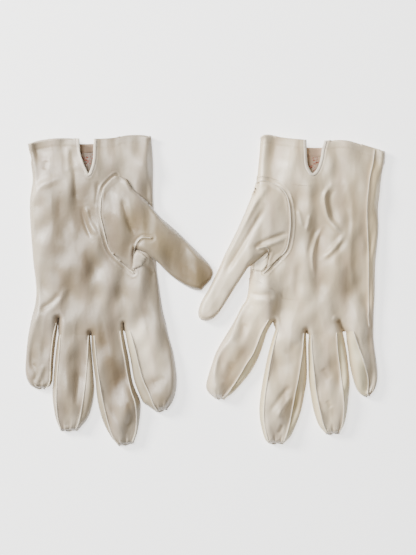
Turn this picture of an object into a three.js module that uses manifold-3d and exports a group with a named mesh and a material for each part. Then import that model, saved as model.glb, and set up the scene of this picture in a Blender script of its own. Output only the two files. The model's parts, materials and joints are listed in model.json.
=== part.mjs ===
// A pair of ladies' wrist-length dress gloves, lying flat, palm side up, finger tips towards -Y.
// Millimetres, +Z up.  Z = 0 is the surface the gloves lie on; X runs across the pair.
// Each glove is a cut-and-sewn glove: a palm panel and a back panel, a thumb let into an oval
// opening with a small quirk gusset at its crotch, and side strips (fourchettes) between the
// front and back of every finger.  Every panel is a separate closed solid of cloth thickness,
// and the gloves are hollow, as worn.

import * as THREE from 'three';
import { mergeVertices } from 'three/addons/utils/BufferGeometryUtils.js';
import Module from 'manifold-3d';

// ---------------------------------------------------------------- driving dimensions (mm)
const CLOTH = 0.9;            // thickness of a doubled satin-faced knit panel as it lies
const GAP = 0.35;             // clearance kept between sewn neighbours
const JOINT_GAP = 0.45;       // clearance on each side of a finger's flex line
const BACK_Z = [0, 1.0];      // the back panels lie on the surface
const WALL_Z = 1.4;           // lowest point of the palm-side shells
const HAND_RISE = { cuff: 11.0, middle: 14.5, knuckle: 11.8 };   // loft of the hand, centre line
const HAND_EDGE = 0.52;       // height at the side folds, as a share of the centre height
const FINGER_RISE = { base: 11.5, middle: 10.4, tip: 6.4 };
const THUMB_RISE = { base: 11.5, middle: 10.6, tip: 6.4 };
const FINGER_EDGE = 0.50;
const HEM_DEPTH = 6.0;        // turned hem at the wrist
const HEM_THICK = 0.7;
const VENT_BINDING = 1.7;     // width of the bound edge of the wrist vent
const TIP_WRAP = 0.92;        // share of a finger's length that its fourchettes reach
const ORIGIN = [-0.061, 0.202]; // moves the middle of the pair's footprint to X = Y = 0

// Pattern outlines, in plan.  edgeA is the little-finger side, edgeB and edgeC the thumb side
// above and below the thumb; notch is the wrist vent; gusset is the seam of the thumb opening.
const GLOVES = {
  left: {
    thumb_side: "+x",
    cuffPalm: [[-128.52, 105.55], [-124.2, 107.06], [-118.94, 108.43], [-108.65, 109.73], [-99, 109.8], [-91.37, 109.15], [-79.85, 109.01], [-73.08, 109.22], [-65.88, 109.8], [-60.12, 111.31], [-54.36, 112.1], [-45.72, 112.1], [-39.24, 110.88]],
    cuffBack: [[-128.23, 103.68], [-108.36, 105.48], [-84.6, 105.7], [-61.56, 106.92], [-39.24, 108]],
    notch: [[-91.37, 109.15], [-90.65, 98.93], [-88.42, 91.94], [-85.9, 86.18], [-84.02, 83.23], [-81.58, 88.42], [-80.35, 94.68], [-80.14, 101.52], [-79.85, 109.01]],
    edgeA: [[-128.52, 105.55], [-127.37, 100.8], [-125.86, 95.76], [-125.93, 91.44], [-125.06, 84.96], [-124.7, 78.48], [-125.64, 72], [-126.65, 64.8], [-126.65, 54], [-125.78, 39.6], [-124.92, 28.8], [-124.06, 18.72], [-122.62, 7.2], [-122.04, -1.44], [-122.76, -9.36], [-124.2, -15.84], [-126.22, -22.32]],
    edgeB: [[-39.24, 110.88], [-38.52, 102.24], [-37.8, 90], [-37.8, 72], [-37.3, 58.32]],
    edgeC: [[-35.35, 19.08], [-34.7, 11.52], [-33.48, 2.88], [-32.04, -7.2], [-30.74, -15.12], [-28.58, -23.76]],
    thumbUp: [[-37.3, 58.32], [-32.11, 52.06], [-25.85, 46.94]],
    hinge: {
      thumb: [[-25.7, 46.8], [-43.34, 25.92]],
      index: [[-58.32, -30.24], [-28.58, -23.76]],
      middle: [[-82.58, -33.12], [-59.54, -29.16]],
      ring: [[-106.34, -32.04], [-83.3, -32.76]],
      pinky: [[-126.22, -22.32], [-106.56, -23.76]],
    },
    crotch: [[-106.2, -20.88], [-83.02, -31.68], [-59.11, -24.26]],
    gusset: [[-64.58, 81.94], [-68.11, 79.06], [-72.65, 73.94], [-74.52, 68.11], [-75.31, 61.06], [-75.53, 54], [-74.23, 47.59], [-72.65, 41.11], [-70.7, 33.41], [-68.11, 27.65], [-63, 21.89], [-57.82, 17.35], [-51.41, 11.88]],
    gussetIn: [[-51.41, 11.88], [-51.77, 19.3], [-51.77, 25.7], [-51.05, 29.88], [-49.32, 28.94], [-45.72, 26.93], [-43.56, 25.78]],
    gussetUp: [[-25.7, 46.8], [-32.11, 52.06], [-37.22, 57.89], [-41.76, 63.65], [-46.87, 68.76], [-52.7, 73.3], [-54.65, 76.46], [-56.52, 79.78], [-61.06, 81.79], [-64.58, 81.94]],
    fingers: {
      pinky: {
        wrap: "L",
        L: [[-126.22, -22.32], [-128.16, -32.4], [-129.24, -41.04], [-129.96, -50.4], [-130.25, -58.32], [-129.24, -64.08], [-126.72, -68.69], [-122.76, -71.14]],
        R: [[-106.56, -23.76], [-107.78, -32.4], [-108.94, -42.48], [-109.8, -51.84], [-110.23, -60.48], [-110.81, -66.24], [-112.54, -69.48], [-115.92, -71.14]],
        S: [[-107.64, -23.76], [-109.51, -32.4], [-110.88, -42.48], [-111.67, -51.84], [-111.96, -60.48], [-112.39, -65.52], [-113.76, -68.76], [-116.28, -70.56]],
      },
      ring: {
        wrap: "",
        L: [[-106.34, -32.04], [-107.64, -40.32], [-108.79, -50.4], [-109.66, -60.48], [-110.38, -72.72], [-109.8, -82.8], [-107.78, -93.24], [-104.76, -101.88]],
        R: [[-83.3, -32.76], [-82.44, -43.2], [-81.29, -56.16], [-80.57, -66.24], [-80.71, -73.44], [-82.01, -82.8], [-85.32, -92.52], [-91.94, -101.38]],
        SL: [[-104.62, -32.04], [-105.05, -40.32], [-105.91, -50.4], [-106.63, -60.48], [-107.14, -70.56], [-107.21, -82.8], [-106.2, -93.24], [-103.75, -101.52]],
        SR: [[-84.46, -32.76], [-84.89, -43.2], [-85.61, -54.72], [-86.47, -64.8], [-87.34, -72.72], [-88.78, -82.8], [-90.79, -93.24], [-93.67, -101.23]],
      },
      middle: {
        wrap: "",
        L: [[-82.58, -33.12], [-82.3, -42.48], [-81, -54.72], [-79.42, -66.24], [-77.47, -81.36], [-73.87, -94.68], [-68.9, -104.69], [-62.93, -112.75]],
        R: [[-59.54, -29.16], [-57.6, -40.32], [-55.66, -50.4], [-53.5, -64.08], [-51.34, -71.28], [-47.59, -79.56], [-47.3, -87.84], [-49.03, -100.8], [-51.77, -110.59]],
        SL: [[-80.28, -32.83], [-79.34, -42.48], [-77.9, -54.72], [-76.1, -67.68], [-73.51, -81.94], [-69.55, -98.28], [-65.45, -108], [-61.85, -112.46]],
        SR: [[-61.7, -29.52], [-59.98, -40.32], [-58.1, -50.4], [-55.8, -64.08], [-53.35, -73.44], [-50.62, -81.36], [-49.61, -92.16], [-50.47, -102.96], [-53.35, -111.17]],
      },
      index: {
        wrap: "R",
        L: [[-58.32, -30.24], [-56.09, -40.32], [-53.93, -50.4], [-51.77, -63.36], [-49.61, -70.56], [-45.29, -80.5], [-40.39, -84.38], [-35.06, -88.56]],
        R: [[-28.58, -23.76], [-26.28, -34.27], [-23.47, -44.21], [-21.31, -57.02], [-20.66, -66.24], [-21.67, -74.81], [-24.19, -81.65], [-27.43, -85.97]],
        S: [[-54.5, -29.52], [-51.91, -37.8], [-49.82, -46.37], [-47.66, -55.58], [-44.78, -65.52], [-41.11, -73.44], [-37.58, -81.94], [-34.06, -87.98]],
      },
      thumb: {
        wrap: "LR",
        L: [[-43.34, 25.92], [-35.35, 20.59], [-30.82, 16.06], [-25.7, 10.94], [-19.22, 5.9], [-12.82, 2.16], [-7.7, 0], [-2.95, -0.43]],
        R: [[-25.7, 46.8], [-19.22, 41.11], [-12.82, 34.7], [-6.41, 28.3], [-0.5, 22.32], [3.82, 17.14], [5.69, 12.53], [4.39, 7.78]],
      },
    },
  },
  right: {
    thumb_side: "-x",
    cuffPalm: [[39.82, 110.52], [42.12, 112.18], [47.23, 112.32], [53.35, 110.45], [61.42, 109.3], [72.22, 108.29], [86.18, 107.71], [95.98, 108.5], [104.04, 107.78], [114.19, 104.76], [122.33, 102.38], [129.96, 100.22]],
    cuffBack: [[39.67, 107.28], [60.84, 104.11], [78.84, 102.96], [100.44, 102.96], [129.67, 96.91]],
    notch: [[72.22, 108.29], [72.58, 99.14], [73.01, 91.01], [74.66, 86.26], [77.18, 83.45], [80.71, 86.98], [83.23, 94.1], [84.46, 101.52], [86.18, 107.71]],
    edgeA: [[129.96, 100.22], [129.67, 94.1], [127.37, 82.94], [125.93, 68.69], [124.78, 58.54], [125.21, 45.36], [124.34, 33.19], [122.83, 18], [122.47, -2.3], [121.75, -16.56], [121.54, -27.72]],
    edgeB: [[39.82, 110.52], [38.74, 96.12], [37.22, 80.86], [36.65, 77.4]],
    edgeC: [[32.18, 13.32], [31.61, 8.64], [30.89, 0], [29.3, -7.2], [26.5, -11.23]],
    thumbUp: [[36.65, 77.4], [33.05, 67.39], [27.94, 54.79], [22.9, 43.49], [17.93, 33.55], [14.04, 25.92]],
    hinge: {
      thumb: [[14.04, 25.92], [30.96, 16.7]],
      index: [[26.5, -11.23], [48.82, -23.04]],
      middle: [[50.47, -28.44], [72.79, -31.32]],
      ring: [[74.52, -32.4], [99.29, -30.24]],
      pinky: [[101.3, -30.1], [121.54, -27.72]],
    },
    crotch: [[50.04, -22.32], [73.08, -29.52], [96.48, -23.04]],
    gusset: [[36.65, 77.4], [41.18, 78.77], [46.22, 77.33], [52.34, 74.81], [57.38, 69.7], [59.9, 62.64], [60.91, 53.5], [60.91, 45.36], [59.9, 36.22], [58.25, 29.66], [55.37, 25.63], [50.26, 20.59], [41.69, 11.88]],
    gussetIn: [[41.69, 11.88], [44.57, 18.72], [46.15, 25.49], [44.86, 27.65], [41.4, 24.77], [36.36, 20.02], [32.04, 16.13]],
    gussetUp: [[14.04, 25.92], [17.93, 33.55], [22.9, 43.49], [27.94, 54.79], [33.05, 67.39], [36.65, 77.4]],
    fingers: {
      index: {
        wrap: "L",
        L: [[26.5, -11.23], [20.02, -23.76], [13.25, -34.92], [7.7, -44.78], [4.03, -55.08], [1.3, -64.08], [0.36, -70.13], [2.23, -74.3], [6.84, -78.34]],
        R: [[48.82, -23.04], [44.42, -30.24], [41.83, -38.16], [39.67, -44.64], [36.79, -51.48], [32.04, -59.76], [26.28, -66.96], [20.02, -73.87], [14.04, -78.77]],
        S: [[45.43, -21.6], [40.68, -30.24], [37.8, -37.44], [33.91, -46.51], [29.16, -53.71], [24.55, -61.92], [20.02, -69.12], [16.34, -74.38], [11.45, -79.06]],
      },
      middle: {
        wrap: "",
        L: [[50.47, -28.44], [48.17, -36.72], [45.14, -48.24], [42.34, -61.92], [40.32, -74.16], [39.17, -86.11], [40.1, -96.48], [43.13, -107.64], [45.72, -110.88]],
        R: [[72.79, -31.32], [72.79, -42.62], [73.08, -53.28], [72.94, -64.8], [71.35, -75.1], [69.05, -86.4], [65.59, -96.48], [61.27, -105.84], [56.66, -110.88]],
        SL: [[52.34, -28.66], [50.18, -36.72], [47.38, -48.96], [45.14, -61.92], [43.2, -74.16], [42.19, -86.11], [42.77, -97.92], [45.29, -108], [47.16, -111.02]],
        SR: [[70.78, -30.96], [69.91, -42.48], [68.47, -53.28], [66.6, -64.8], [64.58, -74.88], [62.57, -86.4], [60.41, -97.2], [57.67, -106.56], [55.08, -111.17]],
      },
      ring: {
        wrap: "",
        L: [[74.52, -32.4], [74.45, -42.48], [74.66, -53.28], [74.95, -64.08], [76.25, -75.1], [78.55, -87.26], [82.01, -97.42], [87.19, -104.26]],
        R: [[99.29, -30.24], [100.87, -39.6], [102.31, -48.24], [103.32, -57.6], [104.04, -67.68], [103.18, -77.76], [102.02, -87.84], [100.15, -96.48], [96.98, -103.39]],
        SL: [[76.39, -32.4], [76.82, -43.92], [78.19, -59.04], [79.7, -72.36], [82.22, -85.82], [84.82, -95.76], [88.49, -103.82]],
        SR: [[94.39, -30.67], [95.11, -42.62], [96.98, -56.81], [98.71, -71.06], [99.72, -82.8], [99.29, -93.6], [97.99, -100.08], [95.69, -103.68]],
      },
      pinky: {
        wrap: "R",
        L: [[101.3, -30.1], [102.17, -36.72], [103.46, -44.64], [104.47, -53.28], [106.34, -61.92], [108.79, -69.84], [111.67, -74.74], [114.7, -77.04]],
        R: [[121.54, -27.72], [121.61, -35.28], [122.47, -43.2], [123.62, -51.12], [124.49, -59.04], [124.2, -65.95], [122.33, -72.14], [119.02, -76.18]],
        S: [[106.34, -29.52], [109.08, -38.16], [112.1, -46.51], [114.84, -54.72], [116.86, -61.92], [117.43, -67.68], [117.14, -72.72], [116.71, -76.75]],
      },
      thumb: {
        wrap: "LR",
        L: [[14.04, 25.92], [8.42, 13.25], [2.81, 1.73], [-2.52, -7.42], [-4.9, -13.68], [-5.18, -18.29], [-3.53, -21.31], [-0.43, -22.46]],
        R: [[30.96, 16.7], [25.42, 7.99], [19.51, -1.3], [13.9, -10.37], [10.15, -15.98], [7.27, -19.3], [4.68, -21.17], [2.23, -22.18]],
      },
    },
  },
};

// the quirk: a small triangular gusset at the crotch of the thumb
const QUIRK = {
  left: [[-52.56, 14.4], [-53.64, 27.36], [-49.32, 31.32], [-44.28, 28.08], [-41.04, 24.12], [-44.64, 16.56]],
  right: [[42.84, 13.68], [48.6, 20.16], [47.88, 28.08], [43.56, 28.8], [36.36, 24.12], [32.62, 19.08], [33.84, 13.68]],
};
// the little-finger side seam, followed inside the hand
const SIDE_SEAM = {
  left: [[-123.05, 96.48], [-121.75, 82.8], [-122.76, 68.4], [-123.62, 56.16], [-122.04, 32.4], [-120.24, 10.8], [-119.16, -7.2]],
  right: [[121.75, 93.6], [118.73, 81.94], [117.14, 71.78], [116.42, 59.54], [116.78, 43.34], [117.29, 28.15], [117.43, 7.85], [117.79, -12.46], [117.58, -20.16]],
};
// the vent outline, carried out past the cuff
const NOTCH_TAIL = (n) => [[n[0][0], n[0][1] + 6], ...n, [n[n.length - 1][0], n[n.length - 1][1] + 6]];

const wasm = await Module();
wasm.setup();

// ---------------------------------------------------------------- helpers
const v2 = ([x, y]) => new THREE.Vector2(x, y);

// a smooth plan curve through points, by arc length, running straight on past both ends
function curve(points) {
  const c = points.length > 2 ? new THREE.SplineCurve(points.map(v2)) : new THREE.LineCurve(v2(points[0]), v2(points[1]));
  c.arcLengthDivisions = 400;
  const length = c.getLength();
  const at = (t) => {
    if (t < 0) return c.getPointAt(0).addScaledVector(c.getTangentAt(0.001), t * length);
    if (t > 1) return c.getPointAt(1).addScaledVector(c.getTangentAt(0.999), (t - 1) * length);
    return c.getPointAt(t);
  };
  return { at, length };
}

// a plan line with corners, by arc length
function polyline(points) {
  const p = points.map(v2);
  const run = [0];
  for (let i = 1; i < p.length; i++) run.push(run[i - 1] + p[i].distanceTo(p[i - 1]));
  const length = run[run.length - 1];
  const at = (t) => {
    const d = t * length;
    let i = 1;
    while (i < p.length - 1 && run[i] < d) i++;
    return p[i - 1].clone().lerp(p[i], (d - run[i - 1]) / (run[i] - run[i - 1]));
  };
  return { at, length, stops: run.map((r) => r / length) };
}

const smooth = (t) => { const c = Math.min(1, Math.max(0, t)); return c * c * (3 - 2 * c); };
const lerp = (a, b, t) => a + (b - a) * t;
const arch = (u, edge) => edge + (1 - edge) * (1 - Math.pow(Math.min(1, Math.abs(2 * u - 1)), 2));
const cosine = (n) => Array.from({ length: n + 1 }, (_, i) => (1 - Math.cos((Math.PI * i) / n)) / 2);
const even = (n) => Array.from({ length: n + 1 }, (_, i) => i / n);

// closed solid over a four-sided patch: plan(s, u), between heights low and high
function slab(plan, low, high, ss, us) {
  const rows = ss.length, cols = us.length;
  const xyz = [];
  for (const level of [low, high]) {
    for (const s of ss) for (const u of us) {
      const p = plan(s, u);
      xyz.push(p.x, p.y, level(s, u, p));
    }
  }
  const a = plan(ss[0], us[0]), b = plan(ss[rows - 1], us[0]), c = plan(ss[0], us[cols - 1]);
  const flip = (b.x - a.x) * (c.y - a.y) - (b.y - a.y) * (c.x - a.x) < 0;
  const index = [];
  const tri = (i, j, k) => (flip ? index.push(i, k, j) : index.push(i, j, k));
  const quad = (i, j, k, l) => { tri(i, j, k); tri(i, k, l); };
  const id = (top, i, j) => top * rows * cols + i * cols + j;
  for (let i = 0; i < rows - 1; i++) for (let j = 0; j < cols - 1; j++) {
    quad(id(1, i, j), id(1, i + 1, j), id(1, i + 1, j + 1), id(1, i, j + 1));
    quad(id(0, i, j), id(0, i, j + 1), id(0, i + 1, j + 1), id(0, i + 1, j));
  }
  for (let i = 0; i < rows - 1; i++) {
    quad(id(0, i, 0), id(0, i + 1, 0), id(1, i + 1, 0), id(1, i, 0));
    quad(id(0, i + 1, cols - 1), id(0, i, cols - 1), id(1, i, cols - 1), id(1, i + 1, cols - 1));
  }
  for (let j = 0; j < cols - 1; j++) {
    quad(id(0, 0, j + 1), id(0, 0, j), id(1, 0, j), id(1, 0, j + 1));
    quad(id(0, rows - 1, j), id(0, rows - 1, j + 1), id(1, rows - 1, j + 1), id(1, rows - 1, j));
  }
  const g = new THREE.BufferGeometry();
  g.setAttribute('position', new THREE.Float32BufferAttribute(xyz, 3));
  g.setIndex(index);
  return solid(g);
}

// upright prism over a plan outline
function prism(points, z0 = -20, z1 = 60) {
  const shape = new THREE.Shape(points.map((p) => (p.isVector2 ? p : v2(p))));
  const g = new THREE.ExtrudeGeometry(shape, { depth: z1 - z0, bevelEnabled: false, steps: 1 });
  g.translate(0, 0, z0);
  return solid(g);
}

// a geometry as a closed solid
function solid(geometry) {
  let g = geometry.clone();
  g.deleteAttribute('normal');
  g.deleteAttribute('uv');
  g = mergeVertices(g, 1e-4);
  return new wasm.Manifold(new wasm.Mesh({
    numProp: 3,
    vertProperties: new Float32Array(g.attributes.position.array),
    triVerts: new Uint32Array(g.index.array),
  }));
}

// a plan outline moved outwards by d
function grow(points, d) {
  const p = points.map((q) => (q.isVector2 ? q : v2(q)));
  let area = 0;
  p.forEach((a, i) => { const b = p[(i + 1) % p.length]; area += a.x * b.y - b.x * a.y; });
  const sign = area > 0 ? 1 : -1;
  return p.map((q, i) => {
    const a = p[(i + p.length - 1) % p.length], b = p[(i + 1) % p.length];
    const e = q.clone().sub(a).normalize(), f = b.clone().sub(q).normalize();
    const n = new THREE.Vector2(e.y + f.y, -e.x - f.x).normalize();
    const k = Math.max(0.5, n.x * e.y - n.y * e.x);
    return q.clone().addScaledVector(n, (sign * d) / k);
  });
}

const gloves = new THREE.Group();
const finishes = {
  left: new THREE.Color(0.72, 0.69, 0.63),
  right: new THREE.Color(0.74, 0.71, 0.65),
};
function add(name, body, tint = 1) {
  const m = body.getMesh();
  const g = new THREE.BufferGeometry();
  g.setAttribute('position', new THREE.BufferAttribute(new Float32Array(m.vertProperties), 3));
  g.setIndex(new THREE.BufferAttribute(new Uint32Array(m.triVerts), 1));
  g.computeVertexNormals();
  const mesh = new THREE.Mesh(g, new THREE.MeshStandardMaterial({
    color: finishes[name.split('_')[0]].clone().multiplyScalar(tint), roughness: 0.55, metalness: 0,
  }));
  mesh.name = name;
  gloves.add(mesh);
  return body;
}

// ---------------------------------------------------------------- one glove
function glove(side) {
  const G = GLOVES[side];
  const name = (part) => side + '_' + part;
  const flipBase = side === 'right';

  // plan of the hand, from the cuff (s = 0) to the flex lines of the fingers (s = 1), from the
  // little-finger side (u = 0) to the thumb side (u = 1)
  const order = ['pinky', 'ring', 'middle', 'index'];
  const basePoints = order.flatMap((f) => (flipBase ? [...G.hinge[f]].reverse() : G.hinge[f]));
  const base = polyline(basePoints);
  const edgeA = curve(G.edgeA);
  const edgeT = curve([...G.edgeB, ...G.edgeC]);
  const patch = (cuff) => (s, u) => {
    const a = edgeA.at(s), b = edgeT.at(s), c = cuff.at(u), k = base.at(u);
    const c0 = edgeA.at(0), c1 = edgeT.at(0), k0 = edgeA.at(1), k1 = edgeT.at(1);
    return a.clone().multiplyScalar(1 - u).addScaledVector(b, u)
      .addScaledVector(c, 1 - s).addScaledVector(k, s)
      .addScaledVector(c0, -(1 - s) * (1 - u)).addScaledVector(c1, -(1 - s) * u)
      .addScaledVector(k0, -s * (1 - u)).addScaledVector(k1, -s * u);
  };
  const cuffLine = flipBase ? [...G.cuffPalm].reverse() : G.cuffPalm;
  const cuffBack = flipBase ? [...G.cuffBack].reverse() : G.cuffBack;
  const plan = patch(curve(cuffLine));
  const planBack = patch(curve(cuffBack));

  // loft of the palm over the surface at a plan point
  const sideLine = (points) => (y) => {
    const p = [...points].sort((m, n) => m[1] - n[1]);
    if (y <= p[0][1]) return p[0][0];
    for (let i = 1; i < p.length; i++) if (y <= p[i][1]) return lerp(p[i - 1][0], p[i][0], (y - p[i - 1][1]) / (p[i][1] - p[i - 1][1]));
    return p[p.length - 1][0];
  };
  const xA = sideLine(G.edgeA), xT = sideLine([...G.edgeB, ...G.edgeC]);
  const yCuff = Math.max(...G.cuffPalm.map((p) => p[1])), yBase = Math.min(...basePoints.map((p) => p[1]));
  const palmTop = (p) => {
    const t = (yCuff - p.y) / (yCuff - yBase);
    const rise = t < 0.45 ? lerp(HAND_RISE.cuff, HAND_RISE.middle, smooth(t / 0.45))
      : lerp(HAND_RISE.middle, HAND_RISE.knuckle, smooth((t - 0.45) / 0.55));
    const a = xA(p.y), b = xT(p.y);
    const u = Math.min(1, Math.max(0, (p.x - a) / (b - a)));
    return rise * arch(u, HAND_EDGE);
  };

  // column stops of the hand follow the corners of the flex lines, with two cells to a finger
  const us = [];
  base.stops.forEach((t, i) => {
    if (i > 0 && i % 2 === 1) us.push(lerp(base.stops[i - 1], t, 0.5));
    us.push(t);
  });
  const inset = (mm) => us.map((u) => lerp(mm / 90, 1 - mm / 90, u));
  const len = edgeA.length;
  const shrink = (d0, d1, n) => even(n).map((t) => lerp(d0 / len, 1 - d1 / len, t));
  const topOf = (drop) => (s, u, p) => palmTop(p) - drop;
  const flat = (z) => () => z;

  // ---- thumb
  const thumb = G.fingers.thumb;
  const stall = (f) => {
    const L = curve(f.L), R = curve(f.R);
    return { L, R, len: (L.length + R.length) / 2, plan: (s, u) => L.at(s).lerp(R.at(s), u) };
  };
  const stallRise = (rise) => (s) => {
    const c = Math.max(0, Math.min(1, s));
    return c < 0.5 ? lerp(rise.base, rise.middle, smooth(c * 2)) : lerp(rise.middle, rise.tip, Math.pow((c - 0.5) * 2, 1.6));
  };
  const shellOf = (f, rise) => {
    const t = stall(f);
    const h = stallRise(rise);
    const w = f.L.length && v2(f.L[0]).distanceTo(v2(f.R[0]));
    const widen = (mm) => (s, u) => {          // the plan, drawn in by mm on both sides
      const l = t.L.at(s), r = t.R.at(s);
      const k = Math.min(0.45, mm / Math.max(2, l.distanceTo(r)));
      return l.clone().lerp(r, lerp(k, 1 - k, u));
    };
    const across = cosine(6);
    const along = (d0, d1, n) => even(n).map((q) => lerp(d0 / t.len, 1 - d1 / t.len, q));
    const outer = slab(widen(GAP + 0.1), flat(WALL_Z), (s, u) => h(s) * arch(u, FINGER_EDGE), along(JOINT_GAP, GAP, 6), across);
    const inner = slab(widen(GAP + 0.1 + CLOTH), flat(-5), (s, u) => h(s) * arch(u, FINGER_EDGE) - CLOTH, along(-6, GAP + CLOTH, 6), across);
    const back = slab(widen(GAP + 0.1), flat(BACK_Z[0]), flat(BACK_Z[1]), along(JOINT_GAP, GAP, 6), [0, 1]);
    return { shell: outer.subtract(inner), back, len: t.len, w, t };
  };
  const [f0, f1] = G.hinge.thumb.map(v2);
  const flexMid = f0.clone().lerp(f1, 0.5);
  const lateral = f1.clone().sub(f0).normalize();
  const axis = new THREE.Vector2(-lateral.y, lateral.x);          // from the flex line back into the hand
  if (v2(thumb.L[thumb.L.length - 1]).sub(flexMid).dot(axis) > 0) axis.negate();
  const behindFlex = prism([[-40, 0], [-40, 40], [40, 40], [40, 0]].map(([i, k]) => flexMid.clone().addScaledVector(lateral, i).addScaledVector(axis, k)));
  const thumbShell = shellOf(thumb, THUMB_RISE);
  add(name('thumb_palm_side'), thumbShell.shell, 1.0);
  add(name('thumb_back_side'), thumbShell.back, 0.86);
  const thumbZone = prism(grow([...thumb.L, ...[...thumb.R].reverse()], 1.3)).subtract(behindFlex);

  // ---- hand: panels
  const zoneGusset = [...G.gusset, ...G.gussetIn.slice(1), ...G.gussetUp.slice(0, -1)];
  const quirk = QUIRK[side];
  const outer = slab(plan, flat(WALL_Z), topOf(0), shrink(0.2, JOINT_GAP, 9), us);
  const inner = slab(plan, flat(-5), topOf(CLOTH), even(9).map((t) => lerp(-0.06, 1.06, t)), inset(CLOTH));
  const vent = grow(NOTCH_TAIL(G.notch), 0);
  let palm = outer.subtract(inner)
    .subtract(prism(grow(vent, VENT_BINDING + GAP)))
    .subtract(prism(grow(zoneGusset, GAP)))
    .subtract(prism(grow(quirk, GAP)))
    .subtract(thumbZone);
  add(name('palm_panel'), palm, 1.0);
  const back = slab(planBack, flat(BACK_Z[0]), flat(BACK_Z[1]), shrink(0.2, JOINT_GAP, 8), us).subtract(thumbZone);
  add(name('back_panel'), back, 0.8);

  // ---- vent binding: a bound edge round the wrist vent
  const band = slab(plan, topOf(CLOTH), (s, u, p) => palmTop(p) + 0.25, shrink(0.2, 60, 6), us);
  add(name('vent_facing'), band.intersect(prism(grow(vent, VENT_BINDING))).subtract(prism(vent)), 1.08);

  // ---- turned hems inside the wrist
  const drop = CLOTH + GAP;
  const hem = slab(plan, topOf(drop + HEM_THICK), topOf(drop), even(1).map((t) => lerp(0.8, HEM_DEPTH, t) / len), inset(CLOTH + GAP + 0.6))
    .subtract(prism(grow(vent, VENT_BINDING + GAP)));
  const mid = (G.notch[0][0] + G.notch[G.notch.length - 1][0]) / 2;
  const half = (x0, x1) => prism([[x0, 60], [x1, 60], [x1, 160], [x0, 160]]);
  const pinkySide = side === 'left' ? half(-300, mid) : half(mid, 300);
  const thumbSide = side === 'left' ? half(mid, 300) : half(-300, mid);
  add(name('palm_hem_outer'), hem.intersect(pinkySide), 0.92);
  add(name('palm_hem_inner'), hem.intersect(thumbSide), 0.92);
  add(name('back_hem'), slab(planBack, flat(BACK_Z[1] + GAP), flat(BACK_Z[1] + GAP + HEM_THICK),
    [0.8 / len, HEM_DEPTH / len], inset(CLOTH + GAP + 0.6)), 0.84);

  // ---- side seam: the turned-in allowance of the little-finger side seam
  const seam = curve(SIDE_SEAM[side]);
  const seamPlan = (s, u) => {
    const p = seam.at(s), q = seam.at(Math.min(1, s + 0.01)), r = seam.at(Math.max(0, s - 0.01));
    const n = new THREE.Vector2(-(q.y - r.y), q.x - r.x).normalize();
    return p.addScaledVector(n, (u - 0.5) * 1.2);
  };
  add(name('side_seam'), slab(seamPlan, (s, u, p) => Math.min(palmTop(p), 11) - CLOTH - 4.2, (s, u, p) => Math.min(palmTop(p), 11) - CLOTH - 1.4,
    even(8), [0, 1]), 0.9);

  // ---- thumb gusset: rises from the oval seam to the thumb's flex line
  const reach = Math.max(...zoneGusset.map((p) => v2(p).sub(flexMid).dot(axis))) + 2;
  const spread = Math.max(...zoneGusset.map((p) => Math.abs(v2(p).sub(flexMid).dot(lateral)))) + 2;
  const gPlan = (s, u) => flexMid.clone().addScaledVector(axis, lerp(reach, -3, s)).addScaledVector(lateral, (2 * u - 1) * spread);
  const thumbBase = stallRise(THUMB_RISE)(0), flexHalf = f0.distanceTo(f1) / 2;
  const gussetTop = (cut) => (s, u, p) => {
    const q = p.clone().sub(flexMid);
    const near = 1 - Math.min(1, Math.max(0, q.dot(axis) / (reach * 0.8)));
    const c = 0.5 + 0.5 * Math.max(-1, Math.min(1, q.dot(lateral) / flexHalf));
    return Math.max(palmTop(p) + 0.1, lerp(palmTop(p), thumbBase * arch(c, FINGER_EDGE), smooth(near))) - cut;
  };
  const flexBand = prism([f0, f1].flatMap((p, i) => [-1, 1].map((k) => p.clone().addScaledVector(axis, (i ? -k : k) * JOINT_GAP).addScaledVector(lateral, i ? 3 : -3))));
  const mouth = prism([f0.clone().addScaledVector(lateral, CLOTH + 0.4).addScaledVector(axis, -4), f0.clone().addScaledVector(lateral, CLOTH + 0.4).addScaledVector(axis, 4),
    f1.clone().addScaledVector(lateral, -CLOTH - 0.4).addScaledVector(axis, 4), f1.clone().addScaledVector(lateral, -CLOTH - 0.4).addScaledVector(axis, -4)]);
  const handVoid = slab(plan, flat(-5), topOf(CLOTH - 0.02), even(9).map((t) => lerp(-0.06, 1.06, t)), inset(CLOTH));
  const gGrid = [even(7), even(7)];
  const gusset = slab(gPlan, flat(WALL_Z), gussetTop(0), ...gGrid).intersect(prism(zoneGusset))
    .subtract(flexBand)
    .subtract(slab(gPlan, flat(WALL_Z + CLOTH), gussetTop(CLOTH), ...gGrid).intersect(prism(grow(zoneGusset, -CLOTH)).add(mouth)))
    .subtract(handVoid);
  add(name('thumb_gusset'), gusset, 0.96);

  // ---- the quirk
  add(name('thumb_quirk'), slab(plan, topOf(CLOTH), topOf(-0.15), shrink(0.2, JOINT_GAP, 9), us)
    .intersect(prism(quirk)).subtract(prism(grow(zoneGusset, GAP))).subtract(thumbZone), 1.06);

  // ---- fingers: front panel, back panel and the fourchettes between them
  for (const f of order) {
    const F = G.fingers[f];
    const { shell, back: under, len: flen, t } = shellOf(F, FINGER_RISE);
    const tip = t.L.at(1).lerp(t.R.at(1), 0.5), root = t.L.at(0).lerp(t.R.at(0), 0.5);
    const a = tip.clone().sub(root).normalize();
    const n = t.R.at(0.5).sub(t.L.at(0.5)).normalize();             // from side L to side R
    const seams = { L: F.SL || (F.wrap === 'R' ? F.S : null), R: F.SR || (F.wrap === 'L' ? F.S : null) };
    const far = 30;
    const line = (pts, dir, shift) => {
      const c = curve(pts);
      return [-0.08, ...even(5).map((q) => q * TIP_WRAP)].map((q) => c.at(q).addScaledVector(n, dir * shift));
    };
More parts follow.
